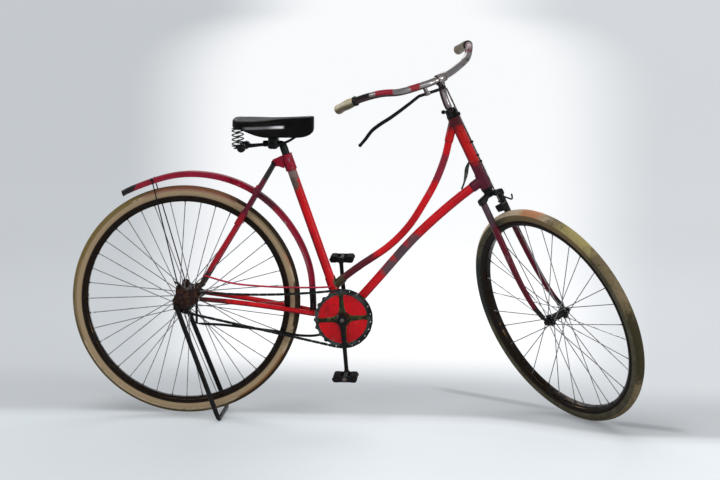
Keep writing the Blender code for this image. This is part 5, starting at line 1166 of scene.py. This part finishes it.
def add_fork():
    shape = Shape()
    mid = (CROWN_LOW + CROWN_TOP) / 2
    rings = []
    # place across, half depth, lower and upper edge of the arched bar
    half = [(0.0462, 0.008, -0.01, 0.006), (0.0452, 0.01, -0.012, 0.008), (0.0345, 0.0118, -0.013, 0.011),
        (0.024, 0.011, -0.009, 0.013), (0.014, 0.0115, -0.001, 0.015)]
    middle = (0.0, 0.0135, -0.001, 0.0155)
    for r, deep, low, high in [(-h[0], *h[1:]) for h in half] + [middle] + half[::-1]:
        centre, tall = mid + (low + high) / 2, (high - low) / 2
        rings.append([steer(deep * soft(cos(a), 0.6), centre + tall * soft(sin(a), 0.6),
            r) for a in turns(28)])
    shape.rings(rings)
    spans = [(CROWN_TOP - 0.005, 0.015), (CROWN_TOP + 0.0055, 0.015), (CROWN_TOP + 0.008, 0.0172),
        (0.4466, 0.0175), (0.4474, 0.017), (0.4474, 0.0126), (0.7098, 0.0126)]
    shape.turn(FOOT, UP, spans, 0, 40)
    shape.block(steer(0.024, 0.4215), (0.03, 0.012, 0.012), STEER_AXES, 0, 0.0014)
    shape.turn(steer(ROD_N, 0.4135), UP, drum(0.0, 0.016, 0.006, 0.001, 0.0008), 0, 24)
    shape.tube(smooth(steers(CROWN_HOOK), 5), 0.0026, 0, 12)
    shape.piece("fork_crown", ["black"], "fork")

    # the left blade takes the darker copy of the enamel, which paints its shade
    for name, sign, look in (("right", 1, "fork"), ("left", -1, "shaded_far_fork")):
        line = smooth(BLADE, 6)
        shape.tube([steer(p.x, p.y, sign * p.z) for p in line], BLADE_R, 0, 24, radii=[p.w for p in line])
        eye = drum(TIP_IN, TIP_IN + TIP_T, 0.0115, 0.0006, 0.0007)
        shape.turn(HUB, RIGHT * sign, eye, 0, 32, bore=0.0047)
        low, high = steer(RAKE, 0), steer(0.037, 0.018)
        along = (high - low).normalized()
        middle = low.lerp(high, 0.62) + RIGHT * sign * (TIP_IN + TIP_T / 2)
        shape.block(middle, (0.017, 0.0135, TIP_T - 0.0004), (along, along.cross(RIGHT), RIGHT), 0, 0.0006)
        shape.piece("fork_blade_" + name, [look], "fork")

    low = HEAD_TOP + GAP
    spans = [(0.0, 0.0178), (0.001, 0.0185), (0.009, 0.0185), (0.011, 0.0172), (0.013, 0.0165),
        (0.028, 0.0165), (0.029, 0.0158)]
    shape.turn(FOOT + UP * low, UP, spans, 0, 40, bore=0.0131)
    shape.tube([steer(-0.01, 0.702), steer(-0.034, 0.706)], 0.0032, 0, 14)
    knob = [(0.0, 0.004), (0.0012, 0.0058), (0.004, 0.0064), (0.0085, 0.006), (0.0115, 0.0042),
        (0.0122, 0.002)]
    shape.turn(steer(-0.0318, 0.7057), steer(-0.044, 0.7077) - steer(-0.032, 0.7057), knob, 0, 24)
    shape.block(steer(0.0245, 0.686), (0.027, 0.011, 0.011), STEER_AXES, 0, 0.0014)
    for s in (-1, 1):
        shape.hexagon(steer(0.0205, 0.7005, s * 0.003), RIGHT * s, 0.009, 0.004, 0)
    shape.piece("headset_clip", ["black"], "fork")


def add_bars():
    shape = Shape()
    bend = [(0.0, 0.73, 0), (0.006, 0.758, 0), (0.018, 0.785, 0), (CLAMP_N, CLAMP_U, 0)]
    path = [(0.0, 0.7103, 0)] + [tuple(p) for p in smooth(bend, 6)]
    shape.tube(steers(path), STEM_R, 0, 28)
    clamp = drum(-0.016, 0.016, 0.0147, 0.001, 0.0007)
    shape.turn(steer(CLAMP_N, CLAMP_U), RIGHT, clamp, 0, 36, bore=0.0115)
    shape.block(steer(CLAMP_N - 0.014, CLAMP_U - 0.0125), (0.011, 0.02, 0.01), STEER_AXES, 0, 0.001)
    shape.hexagon(steer(CLAMP_N - 0.014, CLAMP_U - 0.0125, 0.0098), RIGHT, 0.009, 0.0036, 1)
    shape.piece("stem", ["nickel", "steel"], "fork")

    half = smooth(BAR, 8)[:-3]
    path = [steer(p.x, p.y, -p.z) for p in half[::-1]] + steers(half)
    shape.tube(path, BAR_R, 0, 28)
    shape.tube([steer(0.0228, 0.7785, 0.064), steer(0.024, 0.81, 0.064)], 0.0062, 0, 20)
    lever_dir = (steer(*LEVER[2]) - steer(*LEVER[1])).normalized()
    boss = drum(-0.008, 0.008, 0.0066, 0.001, 0.0008)
    spot = steer(*Vector(LEVER[1]).lerp(Vector(LEVER[2]), 0.55))
    shape.turn(spot, lever_dir, boss, 0, 28, bore=0.004)
    shape.piece("handlebar", ["bar"], "fork")

    path = [Vector(p) for p in LEVER[:3]] + smooth(LEVER[2:], 6)[1:]
    swell = len(path) - 4
    radii = [LEVER_R] * 3 + [LEVER_R + 0.001 * sin(pi * k / swell) for k in range(swell + 1)]
    radii[-2:] = [0.0056, 0.0058]
    shape.tube(steers(path), LEVER_R, 0, 16, radii=radii, lip=0.5)
    shape.piece("brake_lever", ["black"], "fork")

    for name, sign in (("right", 1), ("left", -1)):
        covered = smooth([(p.x, p.y, sign * p.z) for p in smooth(BAR, 2)[-4:]], 8)
        count = len(covered) - 1
        radii = []
        for k in range(count + 1):
            t = k / count
            swell = 0.0118 + 0.0036 * sin(pi * min(1.0, t * 1.25)) ** 0.7 if t < 0.8 else 0.015
            radii.append(min(GRIP_R, max(swell, 0.0128 + 0.002 * t)))
        radii[0], radii[-1] = 0.0142, 0.0132
        radii[1], radii[-2] = 0.0148, 0.015
        shape.tube(steers(covered), GRIP_R, 0, 28, radii=radii, lip=0.15)
        ferrule, after = steer(*covered[0]), steer(*covered[1])
        shape.turn(ferrule, after - ferrule,
            [(0.0, FERRULE_R - 0.001), (0.0005, FERRULE_R), (0.006, FERRULE_R),
            (0.0066, FERRULE_R - 0.001)], 1, 32)
        shape.piece("grip_" + name, ["grip", "black"], "fork")


def add_brake():
    shape = Shape()
    low, top = ROD_LOW, LEVER[0][1] - 0.0036 - GAP
    shape.tube([steer(ROD_N, low), steer(ROD_N, top)], ROD_R, 0, 16)
    for height, wide in ((0.527, 0.005), (0.548, 0.0045), (0.592, 0.006)):
        collar = drum(-0.003, 0.003, wide, 0.0008, wide * 0.14)
        shape.turn(steer(ROD_N, height), UP, collar, 1, 24)
    shape.hexagon(steer(ROD_N, 0.39), UP, 0.009, 0.005, 1)
    shape.piece("brake_rod", ["steel", "black"], "fork")

    shape.block(steer(ROD_N, 0.3705), (0.035, 0.022, 0.0165), STEER_AXES, 1, 0.0016)
    shape.block(steer(ROD_N, 0.3812), (0.036, 0.024, 0.0054), STEER_AXES, 0, 0.001)
    for s in (-1, 1):
        shape.block(steer(ROD_N, 0.377, s * 0.0115), (0.034, 0.0012, 0.012), STEER_AXES, 0, 0.0003)
    shape.piece("brake_shoe", ["black", "rubber"], "fork")


add_fork()
add_bars()
add_brake()


# Saddle
ARM_Z = 0.849
ARM_R, POST_R = 0.0095, 0.0122
LEATHER = [(0.153, 0.042, 0.926, 0.004, 0.906), (0.157, 0.078, 0.9285, 0.006, 0.9025),
    (0.175, 0.096, 0.929, 0.008, 0.899), (0.2, 0.1, 0.929, 0.008, 0.89), (0.23, 0.09, 0.929, 0.008, 0.878),
    (0.26, 0.068, 0.929, 0.007, 0.871), (0.29, 0.045, 0.93, 0.006, 0.87),
    (0.32, 0.033, 0.9312, 0.0055, 0.869), (0.35, 0.029, 0.9325, 0.005, 0.869),
    (0.375, 0.0265, 0.934, 0.0045, 0.873), (0.392, 0.022, 0.9345, 0.004, 0.883),
    (0.3965, 0.015, 0.933, 0.003, 0.896)]
LEATHER_T = 0.0036
ACROSS = [(0.0, 0.0, 0.0), (0.25, 0.04, 0.0), (0.45, 0.15, 0.0), (0.64, 0.3, 0.0), (0.8, 0.5, 0.0),
    (0.9, 0.74, 0.01), (0.97, 1.0, 0.06), (0.995, 1.06, 0.2), (1.0, 1.0, 0.45), (1.0, 1.0, 0.75),
    (1.0, 1.0, 1.0)]
RAIL_R = 0.0034
RAIL = [(0.163, 0.058, 0.843), (0.2, 0.04, 0.842), (0.243, 0.0235, 0.846), (0.3, 0.0215, 0.85),
    (0.345, 0.017, 0.874), (0.372, 0.011, 0.908), (0.384, 0.0, 0.9262)]
SPRING_R, SPRING_WIRE = 0.0102, 0.002
CUP_T = 0.002
SPRING_X, SPRING_Y = RAIL[0][:2]
SPRING_TOP = 0.8975
CUP_TOP = RAIL[0][2] + RAIL_R
SPRING_TURNS = 4


def add_leather():
    """Moulded leather top, its skirt rolled in, with rivets along the cantle and at the nose."""
    places = smooth_rows(LEATHER, 6)
    rows = []
    for x, w, zc, fall, zb in places:
        row = []
        for sign, line in ((-1, ACROSS[::-1]), (1, ACROSS[1:])):
            for fw, ff, fs in line:
                edge = zc - fall * ff
                row.append(at(x, sign * w * fw, edge - (edge - zb) * fs))
        rows.append(row)
    shape = Shape()
    n = len(rows[0])
    for row in rows:
        shape.points += row
    for k in range(len(rows) - 1):
        for j in range(n - 1):
            a = k * n + j
            shape.faces.append((a, a + n, a + n + 1, a + 1))
            shape.looks.append(0)
    for k in (0, len(rows) - 1):
        shape.faces.append(tuple(k * n + j for j in range(n)))
        shape.looks.append(0)
    obj = shape.piece("saddle_leather", ["leather"], crease=75)
    wall = obj.modifiers.new("wall", "SOLIDIFY")
    wall.thickness = LEATHER_T
    wall.offset = -1
    rounding = obj.modifiers.new("rounding", "SUBSURF")
    rounding.levels = rounding.render_levels = 1
    rivets = Shape()
    for x, share in [(0.165, s) for s in (-0.75, -0.4, 0.0, 0.4, 0.75)] + [(0.38, -0.45), (0.38, 0.45)]:
        row = min(places, key=lambda r: abs(r[0] - x))
        drop = next(f for w, f, s in ACROSS if w >= abs(share) - 0.01)
        spot = at(x, row[1] * share, row[2] - row[3] * drop - 0.0003)
        rivets.turn(spot, Vector((0, 0.25 * share, 1)),
            [(-0.001, 0.0052), (0.0004, 0.005), (0.0012, 0.0036), (0.0016, 0.0016)], 0, 20)
    rivets.piece("saddle_rivets", ["steel"], trim=True)


def smooth_rows(rows, count):
    """Rows of any length, smoothed along the table."""
    columns = [smooth([(r[0], value, 0) for r, value in zip(rows, column)], count) for column in zip(*rows)]
    return [[p.y for p in line] for line in zip(*columns)]


def add_saddle():
    add_leather()
    shape = Shape()
    rail = smooth(RAIL, 6)
    shape.tube([at(p.x, -p.y, p.z) for p in rail[:-1]] + ats(rail[::-1]), RAIL_R, 0, 16)
    for s in (-1, 1):
        cup = at(SPRING_X, s * SPRING_Y, CUP_TOP)
        shape.turn(cup, Z, [(-CUP_T - 0.0006, 0.0108), (-CUP_T, 0.012), (-0.0004, 0.0122), (0.0, 0.0116)],
            0, 32)
        shape.hexagon(at(SPRING_X, s * SPRING_Y, RAIL[0][2] - RAIL_R + 0.001), -Z, 0.01, 0.004, 0)
        roll = at(SPRING_X + 0.018, s * SPRING_Y, RAIL[0][2] - 0.004)
        shape.turn(roll, Y * s, drum(-0.015, 0.015, 0.0125, 0.002, 0.0015), 0, 28)
    shape.piece("saddle_rails", ["black"])

    shape.block(at(0.273, 0, 0.853), (0.029, 0.062, 0.037), (X, Y, Z), 0, 0.004)
    for s in (-1, 1):
        nut = at(0.269, s * 0.0308, 0.848)
        shape.hexagon(nut, Y * s, 0.015, 0.0055, 1, 0.003)
        shape.turn(nut, Y * s, [(0.0, 0.0098), (0.0012, 0.0098)], 1, 28)
    shape.piece("saddle_clamp", ["post", "black"])

    for name, sign in SIDES:
        low, high = CUP_TOP + SPRING_WIRE + 0.0002, SPRING_TOP - SPRING_WIRE - 0.0002
        steps = SPRING_TURNS * 24
        path = []
        for k in range(steps + 1):
            t = k / steps
            a = TAU * SPRING_TURNS * t
            flat = min(1.0, max(0.0, (t - 0.06) / 0.88))
            path.append(at(SPRING_X + SPRING_R * cos(a), sign * (SPRING_Y + SPRING_R * sin(a)),
                low + (high - low) * flat))
        shape.tube(path, SPRING_WIRE, 0, 12)
        shape.piece("saddle_spring_" + name, ["verdigris"])

    x = 0.165
    half = smooth([(x, SPRING_Y, SPRING_TOP + RAIL_R), (x, 0.042, 0.908), (x, 0.026, 0.9154),
        (x, 0.0, 0.9165)], 6)
    path = ats(half) + [at(p.x, -p.y, p.z) for p in half[-2::-1]]
    shape.tube(path, RAIL_R, 0, 16)
    for s in (-1, 1):
        cup = at(SPRING_X, s * SPRING_Y, SPRING_TOP)
        shape.turn(cup, Z, [(0.0, 0.0116), (0.0004, 0.0122), (CUP_T, 0.012), (CUP_T + 0.0005, 0.01)], 0, 32)
    shape.piece("saddle_cantle", ["black"])

    bend = [BB + SEAT_DIR * 0.54, BB + SEAT_DIR * 0.553, at(0.301, 0, 0.8445), at(0.295, 0, ARM_Z - 0.0006),
        at(0.286, 0, ARM_Z), at(0.24, 0, ARM_Z)]
    radii = [POST_R, POST_R, 0.0115, 0.0105, ARM_R, ARM_R]
    line = smooth([(*p, r) for p, r in zip(bend, radii)], 5)
    shape.tube([BB + SEAT_DIR * 0.4] + [p.to_3d() for p in line], POST_R, 0, 28,
        radii=[POST_R] + [p.w for p in line])
    shape.piece("seat_post", ["post"])


add_saddle()


# Mudguard and wires
GUARD_HALF, GUARD_T, GUARD_CROWN = 0.0255, 0.0012, 0.0165
GUARD = [(120.5, 0.39), (107.0, 0.3895), (87.0, 0.401), (59.0, 0.4105), (32.0, 0.4095), (15.0, 0.408),
    (5.0, 0.404), (-3.66, 0.405)]
WIRE_R, UPPER_R, LOWER_R = 0.0019, 0.003, 0.004
WIRE_UP = [(0.064, -0.072, 0.45), (0.1383, -0.064, 0.4281), (0.203, -0.052, 0.4176),
    (0.3105, -0.038, 0.4105), (0.405, -0.029, 0.41), (0.4508, -0.017, 0.4109)]
WIRE_LOW = [(0.042, -0.0667, 0.372), (0.042, -0.0667, 0.3), (0.06, -0.06, 0.297), (0.12, -0.045, 0.292),
    (0.2222, -0.032, 0.279), (0.29, -0.03, 0.271), (0.36, -0.03, 0.26), (0.42, -0.03, 0.264),
    (0.47, -0.03, 0.292)]


def add_guard():
    shape = Shape()
    section = [(GUARD_HALF * t, -GUARD_CROWN * abs(t) ** 2.6) for t in (k / 6 - 1 for k in range(13))]
    under = [(y * 0.985, h - GUARD_T) for y, h in section[::-1]]
    rolled = [(GUARD_HALF + 0.0004, -GUARD_CROWN - GUARD_T * 0.6)]
    loop = section + rolled + under + [(-rolled[0][0], rolled[0][1])]
    rings = []
    for p in smooth([(a, r, 0) for a, r in GUARD], 12):
        out = way(radians(p.x))
        rings.append([REAR + out * (p.y + GUARD_T / 2 + h) + Y * y for y, h in loop])
    shape.rings(rings)
    shape.piece("rear_mudguard", ["guard"], crease=50)

    for name, sign in SIDES:
        inner, outer = GUARD_HALF + GAP + WIRE_R, END_IN + END_T + GAP + WIRE_R
        pts = [(-0.1, inner, 0.736), (-0.0955, inner, 0.72), (-0.016, outer, 0.42), (-0.014, outer, 0.408)]
        shape.tube([at(x, sign * y, z) for x, y, z in pts], WIRE_R, 0, 12)
        for x, y, z in (pts[0], pts[-1]):
            shape.turn(at(x, sign * y, z), Y * sign,
                [(-WIRE_R, 0.0046), (0.0008, 0.0046), (0.0022, 0.0036), (0.0028, 0.0016)], 0, 18)
        shape.piece("mudguard_stay_" + name, ["black"])

    shape.tube(ats(smooth(WIRE_UP, 6)), UPPER_R, 0, 12)
    shape.piece("guard_wire_upper", ["wire_red"])
    shape.tube(ats(WIRE_LOW[:2]) + ats(smooth(WIRE_LOW[2:], 6)), LOWER_R, 0, 12)
    shape.piece("guard_wire_lower", ["black"])


add_guard()


# Floor, light and background
FLOOR_SIZE = 300.0
# colour of the shadows painted on the floor
FLOOR_SHADOW_TINT = (0.02, 0.03, 0.04)
# painted shadows: thin lines that the front wheel casts to both sides, each from one end to the other
FLOOR_SHADOW_LINES = [((0.775, 0.44), (1.185, 0.135)), ((1.31, -0.01), (1.53, -0.108))]
# painted shadows near the wheels: place across and along, reach and depth
FLOOR_SHADES = [(-0.14, 0.06, 0.28, 0.34), (0.32, 0.08, 0.24, 0.16), (1.36, -0.05, 0.28, 0.24),
    (1.0, 0.05, 0.3, 0.1)]


def add_floor():
    mesh = bpy.data.meshes.new("floor")
    h = FLOOR_SIZE
    mesh.from_pydata([(-h, -h, 0), (h, -h, 0), (h, h, 0), (-h, h, 0)], [], [(0, 1, 2, 3)])
    floor = bpy.data.objects.new("floor", mesh)
    bpy.context.scene.collection.objects.link(floor)
    look = Look("floor", roughness=0.6, specular_ior_level=0.2)
    xyz = look.node("SeparateXYZ", i0=look.place).outputs
    # a pool of light that widens away from the bicycle, white in its middle, grey at both sides
    away = look.math("MAXIMUM", look.plus(xyz[1], 5.86), 3.0)
    side = look.math("DIVIDE", look.minus(xyz[0], 0.39), away)
    spread = look.math("ABSOLUTE", look.plus(side, 0.0475))
    spread = look.plus(spread, look.range(xyz[1], 12.0, 80.0, 0.0, 0.045))
    pool = look.times(look.range(spread, 0.075, 0.142, 1.0, 0.0), look.range(xyz[1], 0.45, 1.1))
    left = look.range(side, -0.16, -0.04, 1.0, 0.0)
    tint = look.mix(left, (0.575, 0.595, 0.61), (0.48, 0.5, 0.515))
    near_tint = look.mix(left, (0.69, 0.72, 0.745), (0.56, 0.595, 0.615))
    # painted shadow: behind the line of the wheels the floor takes the darker tint
    step = look.minus(xyz[1], look.range(xyz[0], 0.35, 0.9, 0.035, -0.19))
    tint = look.mix(look.range(step, -0.12, 0.02, 1.0, 0.0), tint, near_tint)
    tint = look.mix(pool, tint, (0.86, 0.86, 0.86))
    # the soft shade that the studio's light leaves behind the wheels
    shade = look.times(look.range(step, -0.02, 0.05), look.range(step, 0.3, 0.8, 1.0, 0.0),
        look.range(look.math("ABSOLUTE", xyz[0]), 1.3, 2.6, 1.0, 0.0),
        look.range(left, 0.0, 1.0, 0.24, 0.12))
    tint = look.mix(shade, tint, FLOOR_SHADOW_TINT)
    for x, y, wide, depth in FLOOR_SHADES:
        gap = look.node("VectorMath", [("operation", "DISTANCE")], i0=look.place,
            i1=tuple(at(x, y, -ORIGIN.z)))
        dark = look.times(look.range(gap.outputs["Value"], 0.0, wide, depth, 0.0),
            look.range(step, -0.03, 0.04))
        tint = look.mix(dark, tint, FLOOR_SHADOW_TINT)
    # the front wheel's painted shadow lines
    for (x0, y0), (x1, y1) in FLOOR_SHADOW_LINES:
        along = look.math("DIVIDE", look.minus(xyz[0], at(x0, 0, 0).x), x1 - x0)
        line = look.plus(look.times(along, y1 - y0), at(0, y0, 0).y)
        beside = look.math("ABSOLUTE", look.minus(xyz[1], line))
        dark = look.times(look.range(beside, 0.01, 0.05, 0.26, 0.0), look.range(along, -0.15, 0.2),
            look.range(along, 0.8, 1.15, 1.0, 0.0))
        tint = look.mix(dark, tint, FLOOR_SHADOW_TINT)
    look.set("Base Color", tint)
    path = look.tree.nodes.new("ShaderNodeLightPath").outputs
    seen = look.math("MAXIMUM", look.math("MAXIMUM", path["Is Camera Ray"], path["Is Glossy Ray"]),
        path["Is Transmission Ray"])
    glow = look.node("Emission", Color=tint,
        Strength=look.times(seen, look.range(xyz[1], 0.8, 6.0, 0.3, 0.58))).outputs[0]
    both = look.node("AddShader", i0=look.shader.outputs[0], i1=glow).outputs[0]
    look.tree.links.new(both, look.tree.nodes["Material Output"].inputs["Surface"])
    mesh.materials.append(look.mat)


def add_light(name, place, size, power, target):
    data = bpy.data.lights.new(name, "AREA")
    data.shape = "RECTANGLE"
    data.size, data.size_y = size
    data.energy = power
    lamp = bpy.data.objects.new(name, data)
    lamp.location = place
    lamp.rotation_euler = (Vector(target) - Vector(place)).to_track_quat("-Z", "Y").to_euler()
    bpy.context.scene.collection.objects.link(lamp)


def add_world():
    world = bpy.data.worlds.new("studio")
    bpy.context.scene.world = world
    world.use_nodes = True
    nodes, links = world.node_tree.nodes, world.node_tree.links
    sky = nodes["Background"]
    sky.inputs["Color"].default_value = (0.93, 0.96, 1.0, 1.0)
    sky.inputs["Strength"].default_value = 0.55
    backdrop = nodes.new("ShaderNodeBackground")
    backdrop.inputs["Color"].default_value = (0.9, 0.92, 0.94, 1.0)
    path = nodes.new("ShaderNodeLightPath")
    mix = nodes.new("ShaderNodeMixShader")
    seen = nodes.new("ShaderNodeMath")
    seen.operation = "MAXIMUM"
    links.new(path.outputs["Is Camera Ray"], seen.inputs[0])
    links.new(path.outputs["Is Transmission Ray"], seen.inputs[1])
    links.new(seen.outputs[0], mix.inputs[0])
    links.new(sky.outputs[0], mix.inputs[1])
    links.new(backdrop.outputs[0], mix.inputs[2])
    links.new(mix.outputs[0], nodes["World Output"].inputs["Surface"])


add_floor()
for light in (("key", (-1.6, -3.2, 3.4), (2.6, 2.0), 46.0, (0.0, 0.0, 0.5)),
        ("fill", (2.4, -2.6, 2.6), (2.0, 2.0), 20.0, (0.2, 0.0, 0.5)),
        ("back", (0.2, 2.6, 3.0), (3.0, 1.5), 36.0, (0.0, 0.0, 0.5)),
        ("from_right", (4.4, -2.4, 1.5), (1.0, 0.7), 42.0, (0.0, 0.0, 0.4)),
        ("from_left", (-4.4, 0.8, 1.5), (1.0, 0.7), 30.0, (0.0, 0.0, 0.4))):
    add_light(*light)
add_world()
bpy.context.scene.view_settings.view_transform = "Standard"
